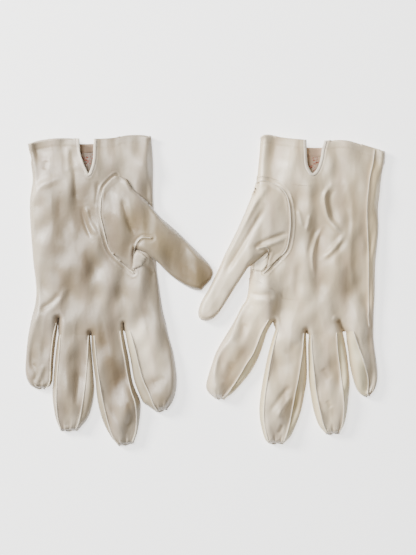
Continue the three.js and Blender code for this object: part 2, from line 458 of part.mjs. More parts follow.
    // front panel: between the seams, and round the whole tip beyond the fourchettes
    const front = [];
    const left = seams.L ? line(seams.L, 1, GAP / 2) : null;
    const right = seams.R ? line(seams.R, -1, GAP / 2) : null;
    if (left) front.push(...left, left[left.length - 1].clone().addScaledVector(n, -far)); else front.push(root.clone().addScaledVector(n, -far).addScaledVector(a, -10));
    front.push(tip.clone().addScaledVector(n, -far).addScaledVector(a, 20), tip.clone().addScaledVector(n, far).addScaledVector(a, 20));
    if (right) front.push(right[right.length - 1].clone().addScaledVector(n, far), ...[...right].reverse()); else front.push(root.clone().addScaledVector(n, far).addScaledVector(a, -10));
    add(name(f + '_palm_side'), shell.intersect(prism(front)), 1.0);
    add(name(f + '_back_side'), under, 0.84);
    for (const k of ['L', 'R']) {
      if (!seams[k]) continue;
      const d = k === 'L' ? -1 : 1;
      const edge = line(seams[k], d, GAP / 2);
      edge[edge.length - 1].addScaledVector(a, -GAP);
      const out = [...edge, edge[edge.length - 1].clone().addScaledVector(n, d * far), edge[0].clone().addScaledVector(n, d * far)];
      const both = seams.L && seams.R;
      const inner = (k === 'R') === (side === 'left');               // the fourchette nearer the thumb
      add(name(f + '_fourchette' + (both ? (inner ? '_inner' : '_outer') : '')), shell.intersect(prism(out)), 0.9);
    }
  }
}

glove('left');
glove('right');

// the pair stands on its own middle
gloves.position.set(ORIGIN[0], ORIGIN[1], 0);

export default gloves;
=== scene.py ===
import json
import math
import bpy
import numpy as np
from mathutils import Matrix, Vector


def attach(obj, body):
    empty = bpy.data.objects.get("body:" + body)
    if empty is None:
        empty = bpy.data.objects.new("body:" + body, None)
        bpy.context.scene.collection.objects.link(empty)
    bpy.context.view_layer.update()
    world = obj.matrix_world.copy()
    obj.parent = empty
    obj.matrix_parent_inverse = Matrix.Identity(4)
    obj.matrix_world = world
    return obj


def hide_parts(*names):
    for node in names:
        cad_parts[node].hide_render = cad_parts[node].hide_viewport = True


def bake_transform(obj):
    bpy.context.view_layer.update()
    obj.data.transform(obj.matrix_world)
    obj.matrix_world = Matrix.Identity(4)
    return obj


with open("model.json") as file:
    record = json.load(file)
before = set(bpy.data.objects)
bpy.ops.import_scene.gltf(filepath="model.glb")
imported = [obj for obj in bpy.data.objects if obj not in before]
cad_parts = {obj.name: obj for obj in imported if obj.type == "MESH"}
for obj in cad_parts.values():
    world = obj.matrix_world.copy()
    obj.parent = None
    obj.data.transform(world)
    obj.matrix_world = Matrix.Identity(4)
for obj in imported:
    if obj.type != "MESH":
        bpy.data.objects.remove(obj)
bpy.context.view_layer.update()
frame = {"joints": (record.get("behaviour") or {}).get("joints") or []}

# ------------------------------------------------------------------ dimensions (mm, row frame)
SHIFT = np.array([-0.061, 0.202])     # the part's own origin shift
EDGE_Z = 2.4                          # height where the front of a piece meets its back
FLOOR_Z = 0.34                        # lowest cloth, outside face
FOLD_R = 4.0                          # radius of a side fold
CLOTH = 0.34                          # cloth thickness

GLOVES = {'left': {'thumb_side': '+x',
          'cuffPalm': [[-128.52, 105.55], [-124.2, 107.06], [-118.94, 108.43], [-108.65, 109.73], [-99.0, 109.8], [-91.37, 109.15], [-79.85, 109.01],
                       [-73.08, 109.22], [-65.88, 109.8], [-60.12, 111.31], [-54.36, 112.1], [-45.72, 112.1], [-39.24, 110.88]],
          'cuffBack': [[-128.23, 103.68], [-108.36, 105.48], [-84.6, 105.7], [-61.56, 106.92], [-39.24, 108.0]],
          'notch': [[-91.37, 109.15], [-90.65, 98.93], [-88.42, 91.94], [-85.9, 86.18], [-84.02, 83.23], [-81.58, 88.42], [-80.35, 94.68],
                    [-80.14, 101.52], [-79.85, 109.01]],
          'edgeA': [[-128.52, 105.55], [-127.37, 100.8], [-125.86, 95.76], [-125.93, 91.44], [-125.06, 84.96], [-124.7, 78.48], [-125.64, 72.0],
                    [-126.65, 64.8], [-126.65, 54.0], [-125.78, 39.6], [-124.92, 28.8], [-124.06, 18.72], [-122.62, 7.2], [-122.04, -1.44],
                    [-122.76, -9.36], [-124.2, -15.84], [-126.22, -22.32]],
          'edgeB': [[-39.24, 110.88], [-38.52, 102.24], [-37.8, 90.0], [-37.8, 72.0], [-37.3, 58.32]],
          'edgeC': [[-35.35, 19.08], [-34.7, 11.52], [-33.48, 2.88], [-32.04, -7.2], [-30.74, -15.12], [-28.58, -23.76]],
          'thumbUp': [[-37.3, 58.32], [-32.11, 52.06], [-25.85, 46.94]],
          'hinge': {'thumb': [[-25.7, 46.8], [-43.34, 25.92]],
                    'index': [[-58.32, -30.24], [-28.58, -23.76]],
                    'middle': [[-82.58, -33.12], [-59.54, -29.16]],
                    'ring': [[-106.34, -32.04], [-83.3, -32.76]],
                    'pinky': [[-126.22, -22.32], [-106.56, -23.76]]},
          'crotch': [[-106.2, -20.88], [-83.02, -31.68], [-59.11, -24.26]],
          'gusset': [[-64.58, 81.94], [-68.11, 79.06], [-72.65, 73.94], [-74.52, 68.11], [-75.31, 61.06], [-75.53, 54.0], [-74.23, 47.59],
                     [-72.65, 41.11], [-70.7, 33.41], [-68.11, 27.65], [-63.0, 21.89], [-57.82, 17.35], [-51.41, 11.88]],
          'gussetIn': [[-51.41, 11.88], [-51.77, 19.3], [-51.77, 25.7], [-51.05, 29.88], [-49.32, 28.94], [-45.72, 26.93], [-43.56, 25.78]],
          'gussetUp': [[-25.7, 46.8], [-32.11, 52.06], [-37.22, 57.89], [-41.76, 63.65], [-46.87, 68.76], [-52.7, 73.3], [-54.65, 76.46],
                       [-56.52, 79.78], [-61.06, 81.79], [-64.58, 81.94]],
          'fingers': {'pinky': {'wrap': 'L',
                                'L': [[-126.22, -22.32], [-128.16, -32.4], [-129.24, -41.04], [-129.96, -50.4], [-130.25, -58.32], [-129.24, -64.08],
                                      [-126.72, -68.69], [-122.76, -71.14]],
                                'R': [[-106.56, -23.76], [-107.78, -32.4], [-108.94, -42.48], [-109.8, -51.84], [-110.23, -60.48], [-110.81, -66.24],
                                      [-112.54, -69.48], [-115.92, -71.14]],
                                'S': [[-107.64, -23.76], [-109.51, -32.4], [-110.88, -42.48], [-111.67, -51.84], [-111.96, -60.48], [-112.39, -65.52],
                                      [-113.76, -68.76], [-116.28, -70.56]]},
                      'ring': {'wrap': '',
                               'L': [[-106.34, -32.04], [-107.64, -40.32], [-108.79, -50.4], [-109.66, -60.48], [-110.38, -72.72], [-109.8, -82.8],
                                     [-107.78, -93.24], [-104.76, -101.88]],
                               'R': [[-83.3, -32.76], [-82.44, -43.2], [-81.29, -56.16], [-80.57, -66.24], [-80.71, -73.44], [-82.01, -82.8],
                                     [-85.32, -92.52], [-91.94, -101.38]],
                               'SL': [[-104.62, -32.04], [-105.05, -40.32], [-105.91, -50.4], [-106.63, -60.48], [-107.14, -70.56], [-107.21, -82.8],
                                      [-106.2, -93.24], [-103.75, -101.52]],
                               'SR': [[-84.46, -32.76], [-84.89, -43.2], [-85.61, -54.72], [-86.47, -64.8], [-87.34, -72.72], [-88.78, -82.8],
                                      [-90.79, -93.24], [-93.67, -101.23]]},
                      'middle': {'wrap': '',
                                 'L': [[-82.58, -33.12], [-82.3, -42.48], [-81.0, -54.72], [-79.42, -66.24], [-77.47, -81.36], [-73.87, -94.68],
                                       [-68.9, -104.69], [-62.93, -112.75]],
                                 'R': [[-59.54, -29.16], [-57.6, -40.32], [-55.66, -50.4], [-53.5, -64.08], [-51.34, -71.28], [-47.59, -79.56],
                                       [-47.3, -87.84], [-49.03, -100.8], [-51.77, -110.59]],
                                 'SL': [[-80.28, -32.83], [-79.34, -42.48], [-77.9, -54.72], [-76.1, -67.68], [-73.51, -81.94], [-69.55, -98.28],
                                        [-65.45, -108.0], [-61.85, -112.46]],
                                 'SR': [[-61.7, -29.52], [-59.98, -40.32], [-58.1, -50.4], [-55.8, -64.08], [-53.35, -73.44], [-50.62, -81.36],
                                        [-49.61, -92.16], [-50.47, -102.96], [-53.35, -111.17]]},
                      'index': {'wrap': 'R',
                                'L': [[-58.32, -30.24], [-56.09, -40.32], [-53.93, -50.4], [-51.77, -63.36], [-49.61, -70.56], [-45.29, -80.5],
                                      [-40.39, -84.38], [-35.06, -88.56]],
                                'R': [[-28.58, -23.76], [-26.28, -34.27], [-23.47, -44.21], [-21.31, -57.02], [-20.66, -66.24], [-21.67, -74.81],
                                      [-24.19, -81.65], [-27.43, -85.97]],
                                'S': [[-54.5, -29.52], [-51.91, -37.8], [-49.82, -46.37], [-47.66, -55.58], [-44.78, -65.52], [-41.11, -73.44],
                                      [-37.58, -81.94], [-34.06, -87.98]]},
                      'thumb': {'wrap': 'LR',
                                'L': [[-43.34, 25.92], [-35.35, 20.59], [-30.82, 16.06], [-25.7, 10.94], [-19.22, 5.9], [-12.82, 2.16], [-7.7, 0.0],
                                      [-2.95, -0.43]],
                                'R': [[-25.7, 46.8], [-19.22, 41.11], [-12.82, 34.7], [-6.41, 28.3], [-0.5, 22.32], [3.82, 17.14], [5.69, 12.53],
                                      [4.39, 7.78]]}}},
 'right': {'thumb_side': '-x',
           'cuffPalm': [[39.82, 110.52], [42.12, 112.18], [47.23, 112.32], [53.35, 110.45], [61.42, 109.3], [72.22, 108.29], [86.18, 107.71],
                        [95.98, 108.5], [104.04, 107.78], [114.19, 104.76], [122.33, 102.38], [129.96, 100.22]],
           'cuffBack': [[39.67, 107.28], [60.84, 104.11], [78.84, 102.96], [100.44, 102.96], [129.67, 96.91]],
           'notch': [[72.22, 108.29], [72.58, 99.14], [73.01, 91.01], [74.66, 86.26], [77.18, 83.45], [80.71, 86.98], [83.23, 94.1], [84.46, 101.52],
                     [86.18, 107.71]],
           'edgeA': [[129.96, 100.22], [129.67, 94.1], [127.37, 82.94], [125.93, 68.69], [124.78, 58.54], [125.21, 45.36], [124.34, 33.19],
                     [122.83, 18.0], [122.47, -2.3], [121.75, -16.56], [121.54, -27.72]],
           'edgeB': [[39.82, 110.52], [38.74, 96.12], [37.22, 80.86], [36.65, 77.4]],
           'edgeC': [[32.18, 13.32], [31.61, 8.64], [30.89, 0.0], [29.3, -7.2], [26.5, -11.23]],
           'thumbUp': [[36.65, 77.4], [33.05, 67.39], [27.94, 54.79], [22.9, 43.49], [17.93, 33.55], [14.04, 25.92]],
           'hinge': {'thumb': [[14.04, 25.92], [30.96, 16.7]],
                     'index': [[26.5, -11.23], [48.82, -23.04]],
                     'middle': [[50.47, -28.44], [72.79, -31.32]],
                     'ring': [[74.52, -32.4], [99.29, -30.24]],
                     'pinky': [[101.3, -30.1], [121.54, -27.72]]},
           'crotch': [[50.04, -22.32], [73.08, -29.52], [96.48, -23.04]],
           'gusset': [[36.65, 77.4], [41.18, 78.77], [46.22, 77.33], [52.34, 74.81], [57.38, 69.7], [59.9, 62.64], [60.91, 53.5], [60.91, 45.36],
                      [59.9, 36.22], [58.25, 29.66], [55.37, 25.63], [50.26, 20.59], [41.69, 11.88]],
           'gussetIn': [[41.69, 11.88], [44.57, 18.72], [46.15, 25.49], [44.86, 27.65], [41.4, 24.77], [36.36, 20.02], [32.04, 16.13]],
           'gussetUp': [[14.04, 25.92], [17.93, 33.55], [22.9, 43.49], [27.94, 54.79], [33.05, 67.39], [36.65, 77.4]],
           'fingers': {'index': {'wrap': 'L',
                                 'L': [[26.5, -11.23], [20.02, -23.76], [13.25, -34.92], [7.7, -44.78], [4.03, -55.08], [1.3, -64.08], [0.36, -70.13],
                                       [2.23, -74.3], [6.84, -78.34]],
                                 'R': [[48.82, -23.04], [44.42, -30.24], [41.83, -38.16], [39.67, -44.64], [36.79, -51.48], [32.04, -59.76],
                                       [26.28, -66.96], [20.02, -73.87], [14.04, -78.77]],
                                 'S': [[45.43, -21.6], [40.68, -30.24], [37.8, -37.44], [33.91, -46.51], [29.16, -53.71], [24.55, -61.92],
                                       [20.02, -69.12], [16.34, -74.38], [11.45, -79.06]]},
                       'middle': {'wrap': '',
                                  'L': [[50.47, -28.44], [48.17, -36.72], [45.14, -48.24], [42.34, -61.92], [40.32, -74.16], [39.17, -86.11],
                                        [40.1, -96.48], [43.13, -107.64], [45.72, -110.88]],
                                  'R': [[72.79, -31.32], [72.79, -42.62], [73.08, -53.28], [72.94, -64.8], [71.35, -75.1], [69.05, -86.4],
                                        [65.59, -96.48], [61.27, -105.84], [56.66, -110.88]],
                                  'SL': [[52.34, -28.66], [50.18, -36.72], [47.38, -48.96], [45.14, -61.92], [43.2, -74.16], [42.19, -86.11],
                                         [42.77, -97.92], [45.29, -108.0], [47.16, -111.02]],
                                  'SR': [[70.78, -30.96], [69.91, -42.48], [68.47, -53.28], [66.6, -64.8], [64.58, -74.88], [62.57, -86.4],
                                         [60.41, -97.2], [57.67, -106.56], [55.08, -111.17]]},
                       'ring': {'wrap': '',
                                'L': [[74.52, -32.4], [74.45, -42.48], [74.66, -53.28], [74.95, -64.08], [76.25, -75.1], [78.55, -87.26],
                                      [82.01, -97.42], [87.19, -104.26]],
                                'R': [[99.29, -30.24], [100.87, -39.6], [102.31, -48.24], [103.32, -57.6], [104.04, -67.68], [103.18, -77.76],
                                      [102.02, -87.84], [100.15, -96.48], [96.98, -103.39]],
                                'SL': [[76.39, -32.4], [76.82, -43.92], [78.19, -59.04], [79.7, -72.36], [82.22, -85.82], [84.82, -95.76],
                                       [88.49, -103.82]],
                                'SR': [[94.39, -30.67], [95.11, -42.62], [96.98, -56.81], [98.71, -71.06], [99.72, -82.8], [99.29, -93.6],
                                       [97.99, -100.08], [95.69, -103.68]]},
                       'pinky': {'wrap': 'R',
                                 'L': [[101.3, -30.1], [102.17, -36.72], [103.46, -44.64], [104.47, -53.28], [106.34, -61.92], [108.79, -69.84],
                                       [111.67, -74.74], [114.7, -77.04]],
                                 'R': [[121.54, -27.72], [121.61, -35.28], [122.47, -43.2], [123.62, -51.12], [124.49, -59.04], [124.2, -65.95],
                                       [122.33, -72.14], [119.02, -76.18]],
                                 'S': [[106.34, -29.52], [109.08, -38.16], [112.1, -46.51], [114.84, -54.72], [116.86, -61.92], [117.43, -67.68],
                                       [117.14, -72.72], [116.71, -76.75]]},
                       'thumb': {'wrap': 'LR',
                                 'L': [[14.04, 25.92], [8.42, 13.25], [2.81, 1.73], [-2.52, -7.42], [-4.9, -13.68], [-5.18, -18.29], [-3.53, -21.31],
                                       [-0.43, -22.46]],
                                 'R': [[30.96, 16.7], [25.42, 7.99], [19.51, -1.3], [13.9, -10.37], [10.15, -15.98], [7.27, -19.3], [4.68, -21.17],
                                       [2.23, -22.18]]}}}}
LOOP = {'left': [(-51.62, 14.04), (-51.77, 22.82), (-50.76, 30.6), (-48.1, 35.57),
          (-44.78, 37.73), (-38.74, 37.22)],
 'right': [(33.48, 14.4), (38.88, 19.08), (43.56, 23.76), (45.43, 28.44),
           (43.2, 30.96), (37.8, 29.88)]}
QUIRK = {'left': [(-52.56, 14.4), (-52.49, 25.92), (-49.32, 29.16), (-45.0, 26.5),
          (-42.12, 23.4), (-45.36, 17.28)],
 'right': [(42.12, 13.32), (45.36, 20.16), (46.08, 26.5), (44.28, 28.37),
           (37.08, 22.9), (32.47, 17.64), (33.84, 13.68)]}
SIDE_SEAM = {'left': [(-123.05, 96.48), (-121.75, 82.8), (-122.76, 68.4), (-123.62, 56.16),
          (-122.04, 32.4), (-120.24, 10.8), (-119.16, -7.2)],
 'right': [(122.04, 101.16), (120.82, 92.09), (118.44, 81.94), (117.0, 71.78),
           (116.21, 59.54), (116.78, 43.34), (117.29, 28.15), (117.43, 7.85),
           (117.79, -12.46), (117.29, -18.58), (118.01, -26.64)]}
# the left glove's cloth is darker than the right one's
BASE = {'left': (0.775, 0.755, 0.715), 'right': (1.28, 1.255, 1.165)}
SIDE_TINT = {'left': (0.99, 0.98, 0.95), 'right': (0.99, 0.985, 0.90)}


# folds of the cloth: side, height, half width, line
STROKES = [
    ('right', 1.15, 1.5, [(90.36, 75.82), (85.82, 68.69), (85.82, 60.62), (88.85, 50.47), (95.98, 42.34), (100.01, 40.32)]),
    ('right', -0.55, 1.8, [(93.96, 74.88), (90.0, 67.68), (90.0, 60.48), (93.24, 51.12), (99.0, 44.64)]),
    ('right', 0.85, 1.7, [(100.01, 40.32), (93.89, 32.18), (83.81, 22.03)]),
    ('right', -0.5, 1.8, [(100.44, 36.0), (95.4, 28.8), (87.48, 20.16)]),
    ('right', 0.8, 1.5, [(83.81, 45.36), (79.7, 36.22), (76.68, 23.04), (78.7, 9.86)]),
    ('right', -0.45, 1.5, [(79.92, 44.64), (75.96, 36.0), (73.44, 24.48)]),
    ('right', 0.7, 1.3, [(75.17, 54.5), (72.58, 42.34)]),
    ('right', 0.5, 1.3, [(66.53, 58.54), (69.55, 45.36)]),
    ('right', -0.8, 2.2, [(33.05, -1.3), (38.09, -3.31), (45.22, -3.31), (49.25, -7.42)]),
    ('right', 0.35, 2.0, [(33.05, -5.76), (38.09, -7.63), (43.56, -7.92), (46.44, -11.52)]),
    ('right', 1.25, 2.2, [(46.22, 75.82), (38.09, 66.67), (27.94, 48.38), (17.78, 29.16), (11.74, 16.99)]),
    ('right', -1.2, 2.0, [(43.2, 60.62), (33.48, 43.92), (22.9, 26.06), (12.74, 9.86)]),
    ('right', -0.9, 1.6, [(59.4, 41.33), (45.22, 36.22), (33.05, 30.17)]),
    ('right', 0.5, 1.4, [(57.96, 37.44), (45.22, 32.11), (36.36, 27.72)]),
    ('right', 0.35, 2.2, [(100.44, 82.8), (105.48, 54.0), (104.04, 21.6), (108.36, -7.2)]),
    ('right', -0.35, 2.6, [(68.04, 21.6), (65.16, 3.6), (69.48, -14.4)]),
    ('left', 0.7, 2.2, [(-99.5, 104.4), (-98.42, 84.24)]),
    ('left', 0.9, 3.0, [(-102.6, 83.16), (-111.96, 77.76), (-120.67, 73.01), (-124.2, 59.04)]),
    ('left', -0.6, 2.2, [(-114.62, 93.6), (-116.28, 86.4)]),
    ('left', -0.9, 2.2, [(-94.39, 90.0), (-93.38, 63.94)]),
    ('left', 0.9, 2.0, [(-86.33, 60.91), (-83.3, 48.82), (-77.26, 38.66)]),
    ('left', -0.6, 1.6, [(-89.64, 61.2), (-86.76, 48.24), (-81.72, 36.0)]),
    ('left', -0.7, 1.8, [(-77.26, 79.06), (-78.26, 58.9)]),
    ('left', -0.8, 2.0, [(-60.05, 66.96), (-55.01, 48.82), (-50.98, 38.66)]),
    ('left', -0.8, 2.2, [(-104.76, -1.44), (-110.52, -8.64), (-120.67, -15.84)]),
    ('left', 0.45, 2.4, [(-99.0, 3.6), (-104.76, -7.2), (-114.84, -17.28)]),
    ('left', 0.7, 2.0, [(-75.96, -73.44), (-67.32, -92.16), (-57.24, -105.84)]),
    ('left', -0.7, 2.0, [(-55.8, -79.2), (-53.64, -92.16), (-56.52, -102.24)]),
    ('left', -0.6, 1.8, [(-124.92, -51.84), (-122.04, -60.48), (-124.2, -67.68)]),
    ('left', 0.6, 1.6, [(-116.28, -53.28), (-119.16, -61.92), (-121.32, -67.68)]),
    ('left', 0.45, 3.0, [(-99.0, -39.6), (-100.44, -79.2)]),
    ('left', -0.55, 2.2, [(-91.8, -57.6), (-93.24, -84.96)]),
    ('left', -0.5, 3.0, [(-38.52, -67.68), (-28.44, -63.36)]),
    ('left', 0.7, 1.8, [(-42.84, 24.48), (-38.52, 19.44), (-32.76, 10.08), (-27.0, 4.32)]),
    ('left', -0.5, 1.8, [(-46.44, 23.04), (-41.4, 15.84), (-35.64, 9.36)]),
    ('right', -0.55, 3.0, [(29.16, -23.04), (21.96, -39.6)]),
    ('right', 0.55, 2.5, [(14.76, -36.0), (7.56, -51.84), (4.68, -64.8)]),
    ('right', -0.5, 3.0, [(20.52, -50.4), (13.32, -66.24)]),
    ('right', -0.7, 2.0, [(46.44, -87.84), (53.64, -77.76), (62.28, -67.68)]),
    ('right', 0.7, 1.8, [(50.76, -92.16), (57.24, -82.8), (62.28, -75.6)]),
    ('right', -0.6, 1.6, [(52.92, -103.68), (55.8, -96.48)]),
    ('right', -0.45, 3.0, [(68.04, -36.0), (56.52, -47.52)]),
    ('right', -0.55, 2.4, [(83.88, -56.16), (90.36, -64.08)]),
    ('right', -0.5, 1.8, [(87.48, -79.2), (90.36, -84.96)]),
    ('right', 0.5, 2.2, [(80.28, -77.76), (83.88, -95.04)]),
    ('right', 0.55, 2.0, [(91.08, -18.72), (99.0, -25.2)]),
]
# patches mixed of soiling, yellowing and painted light (factors above 1 are painted highlights, the darker patches are
# partly soiling and partly painted shade): side, colour factor, radius, line
STAIN_AND_PAINTED_LIGHT_PATCHES = [
    ('left', (0.6, 0.515, 0.335), 14.0, [(-11.16, 14.4), (-1.08, 5.76), (6.12, 0.0)]),
    ('left', (0.78, 0.71, 0.53), 12.0, [(-50.04, 48.96), (-39.96, 40.32), (-27.0, 28.8)]),
    ('left', (0.7, 0.66, 0.6), 9.0, [(-68.76, 67.68), (-65.88, 48.96), (-57.24, 28.8)]),
    ('left', (0.68, 0.635, 0.565), 11.0, [(-87.48, 64.8), (-84.6, 36.0), (-87.48, 7.2)]),
    ('left', (0.74, 0.7, 0.64), 9.0, [(-106.2, 64.8), (-106.2, 36.0), (-101.88, 7.2)]),
    ('left', (0.84, 0.8, 0.76), 6.0, [(-117.0, 95.04), (-111.96, 80.64)]),
    # painted highlight along the little-finger edge of the left hand
    ('left', (1.4, 1.44, 1.48), 5.5, [(-124.92, 79.2), (-125.64, 43.2), (-123.48, 0.0)]),
    ('left', (1.2, 1.22, 1.24), 7.0, [(-64.44, 102.24), (-54.36, 84.96)]),
    ('left', (1.22, 1.24, 1.26), 4.5, [(-100.44, 106.56), (-96.84, 84.96), (-103.32, 74.88)]),
    ('left', (0.55, 0.48, 0.375), 9.0, [(-77.4, -28.8), (-67.32, -54.0), (-58.68, -80.64)]),
    # painted highlight over the left index finger
    ('left', (2.1, 2.2, 2.28), 8.5, [(-47.16, -31.68), (-38.52, -56.16)]),
    ('left', (0.8, 0.76, 0.69), 5.5, [(-39.96, -69.12), (-31.32, -79.2)]),
    ('left', (0.8, 0.76, 0.69), 5.0, [(-121.32, -43.2), (-123.48, -63.36)]),
    ('left', (0.84, 0.8, 0.74), 6.5, [(-100.44, -43.2), (-96.12, -82.08)]),
    ('left', (1.1, 1.1, 1.1), 7.0, [(-78.84, -7.2), (-50.04, -17.28)]),
    # painted highlight along the thumb side of the right hand
    ('right', (1.14, 1.15, 1.14), 9.0, [(40.68, 100.8), (36.36, 72.0), (21.96, 41.76), (4.68, -4.32)]),
    ('right', (1.42, 1.43, 1.41), 8.0, [(32.04, 0.0), (37.8, -23.04)]),
    ('right', (1.15, 1.14, 1.1), 5.5, [(33.48, -28.8), (29.16, -51.84)]),
    ('right', (0.78, 0.72, 0.62), 5.5, [(24.84, -44.64), (16.92, -67.68)]),
    ('right', (0.86, 0.83, 0.77), 9.0, [(81.0, 72.0), (86.76, 38.88), (93.96, 5.76)]),
    ('right', (0.8, 0.76, 0.68), 7.0, [(105.48, 77.76), (106.92, 38.88), (104.04, 0.0)]),
    ('right', (1.2, 1.2, 1.17), 7.5, [(69.48, 1.44), (60.84, -20.16)]),
    ('right', (1.16, 1.16, 1.14), 6.0, [(68.04, 103.68), (65.16, 84.96)]),
    ('right', (1.1, 1.05, 0.88), 6.0, [(122.76, 87.84), (120.6, 36.0), (121.32, -7.2)]),
    ('right', (1.22, 1.22, 1.18), 4.5, [(52.2, -34.56), (47.88, -76.32)]),
    ('right', (0.84, 0.8, 0.71), 4.5, [(65.16, -43.2), (63.72, -82.08)]),
    ('right', (1.2, 1.2, 1.16), 5.0, [(85.32, -73.44), (88.2, -96.48)]),
    ('right', (0.84, 0.8, 0.72), 5.0, [(91.08, -36.0), (95.4, -61.92)]),
    ('right', (0.8, 0.7, 0.6), 0.5, [(17.64, -55.87), (17.93, -56.45)]),
]


# ------------------------------------------------------------------ camera first
scene = bpy.context.scene
cam_data = bpy.data.cameras.new("camera")
cam = bpy.data.objects.new("camera", cam_data)
scene.collection.objects.link(cam)
CAM_H = 1.35
cam_data.sensor_fit = "VERTICAL"
cam_data.sensor_height = 24.0
PX = 0.72e-3
cam_data.lens = 24.0 * (CAM_H - 0.008) / (555 * PX)
cam.location = ((208.0 - 205.5) * PX + SHIFT[0] / 1000, (290.0 - 277.5) * PX + SHIFT[1] / 1000, CAM_H)
cam.rotation_euler = (0, 0, 0)
cam_data.clip_start = 0.05
cam_data.clip_end = 20
scene.camera = cam


# ------------------------------------------------------------------ plan geometry helpers
def A(points):
    return np.array(points, float) + SHIFT


def dense(points, n=240):
    """points of a smooth curve through the given ones, evenly spaced along it"""
    p = np.asarray(points, float)
    if len(p) == 2:
        return p[0] + (p[1] - p[0]) * np.linspace(0, 1, n)[:, None]
    q = np.vstack([2 * p[0] - p[1], p, 2 * p[-1] - p[-2]])
    out = []
    for i in range(1, len(q) - 2):
        t = np.linspace(0, 1, 24, endpoint=False)[:, None]
        a, b, c, d = q[i - 1], q[i], q[i + 1], q[i + 2]
        out.append(0.5 * (2 * b + (c - a) * t + (2 * a - 5 * b + 4 * c - d) * t ** 2 + (3 * b - a - 3 * c + d) * t ** 3))
    out = np.vstack(out + [p[-1:]])
    return even(out, n)


def even(pts, n):
    run = np.r_[0, np.cumsum(np.linalg.norm(np.diff(pts, axis=0), axis=1))]
    t = np.linspace(0, run[-1], n)
    return np.stack([np.interp(t, run, pts[:, k]) for k in range(pts.shape[1])], 1)


def at(curve, t):
    """points of an evenly spaced curve at shares t of its length, straight on past its ends"""
    t = np.atleast_1d(np.asarray(t, float))
    n = len(curve) - 1
    x = t * n
    out = np.stack([np.interp(x, np.arange(n + 1), curve[:, k]) for k in range(curve.shape[1])], -1)
    lo, hi = x < 0, x > n
    out[lo] = curve[0] + (curve[1] - curve[0]) * x[lo][:, None]
    out[hi] = curve[-1] + (curve[-1] - curve[-2]) * (x[hi] - n)[:, None]
    return out


def length(curve):
    return float(np.linalg.norm(np.diff(curve, axis=0), axis=1).sum())


def distance(p, line, with_t=False):
    """distance of points p (N, 2) to an open polyline, and the share of its length of the nearest point"""
    a, b = line[:-1], line[1:]
    best = np.full(len(p), 1e9)
    bt = np.zeros(len(p))
    seg = np.linalg.norm(b - a, axis=1)
    run = np.r_[0, np.cumsum(seg)]
    for i in range(len(a)):
        d = b[i] - a[i]
        t = np.clip(((p - a[i]) @ d) / max(1e-12, d @ d), 0, 1)
        r = np.hypot(p[:, 0] - a[i, 0] - t * d[0], p[:, 1] - a[i, 1] - t * d[1])
        m = r < best
        best[m] = r[m]
        bt[m] = (run[i] + t[m] * seg[i]) / run[-1]
    return (best, bt) if with_t else best


def inside(p, poly):
    x, y = p[:, 0], p[:, 1]
    c = np.zeros(len(p), bool)
    j = len(poly) - 1
    for i in range(len(poly)):
        xi, yi = poly[i]
        xj, yj = poly[j]
        if yi != yj:
            m = ((yi > y) != (yj > y)) & (x < (xj - xi) * (y - yi) / (yj - yi) + xi)
            c ^= m
        j = i
    return c


def signed(p, poly):
    """distance to a closed outline, positive inside"""
    d = distance(p, np.vstack([poly, poly[:1]]))
    return np.where(inside(p, poly), d, -d)


def nearest(p, line):
    """nearest points of a polyline"""
    best = np.full(len(p), 1e9)
    out = p.copy()
    for a, b in zip(line[:-1], line[1:]):
        d = b - a
        t = np.clip(((p - a) @ d) / max(1e-12, d @ d), 0, 1)
        q = a + t[:, None] * d
        r = np.hypot(*(p - q).T)
        m = r < best
        best[m] = r[m]
        out[m] = q[m]
    return out


def fit_grid(p, f, poly, cell, keep_inside=True):
    """moves a grid's points so that its faces end exactly on an outline, and says which faces stay"""
    ring = np.vstack([poly, poly[:1]])
    sd = signed(p, poly)
    if not keep_inside:
        sd = -sd
    cross = (sd[f] > 0).any(1) & (sd[f] < 0).any(1)
    out = np.zeros(len(p), bool)
    out[np.unique(f[cross])] = True
    move = (out & (sd < 0)) | (np.abs(sd) < 0.3 * cell)
    p = p.copy()
    p[move] = nearest(p[move], ring)
    sd[move] = 0
    q = p[f]
    area = 0.5 * np.abs((q[:, 2, 0] - q[:, 0, 0]) * (q[:, 3, 1] - q[:, 1, 1]) - (q[:, 2, 1] - q[:, 0, 1]) * (q[:, 3, 0] - q[:, 1, 0]))
    c = signed(q.mean(1), poly) * (1 if keep_inside else -1)
    return p, (sd[f] > -1e-6).all(1) & (area > 0.01 * cell * cell) & (c > 0.01 * cell), move


def smooth(t):
    t = np.clip(t, 0, 1)
    return t * t * (3 - 2 * t)


def g_round(t):
    t = np.clip(t, 0, 1)
    return np.sqrt(np.maximum(0, 1 - (1 - t) ** 2))


def cosine(n, both=True):
    k = np.arange(n + 1) / n
    return (1 - np.cos(np.pi * k)) / 2 if both else k


class Waves:
    """smooth seeded noise, a sum of plane waves; lam is (shortest, longest) wavelength across, stretch along Y"""

    def __init__(self, seed, lam, stretch, n=28, tilt=0.35):
        r = np.random.RandomState(seed)
        w = 2 * np.pi / np.exp(r.uniform(np.log(lam[0]), np.log(lam[1]), n))
        a = r.normal(0, tilt, n) + (r.rand(n) < 0.25) * r.normal(0, 0.8, n)
        self.kx, self.ky = w * np.cos(a), w * np.sin(a) / stretch
        self.ph = r.uniform(0, 2 * np.pi, n)
        self.amp = (1 / w) / np.sqrt(np.sum((1 / w) ** 2) / 2)

    def __call__(self, p):
        out = np.zeros(len(p))
        for kx, ky, ph, a in zip(self.kx, self.ky, self.ph, self.amp):
            out += a * np.sin(kx * p[:, 0] + ky * p[:, 1] + ph)
        return out


def plan_area(poly):
    """area inside a closed outline"""
    x, y = np.asarray(poly, float).T
    return abs((x * np.roll(y, -1) - y * np.roll(x, -1)).sum()) / 2


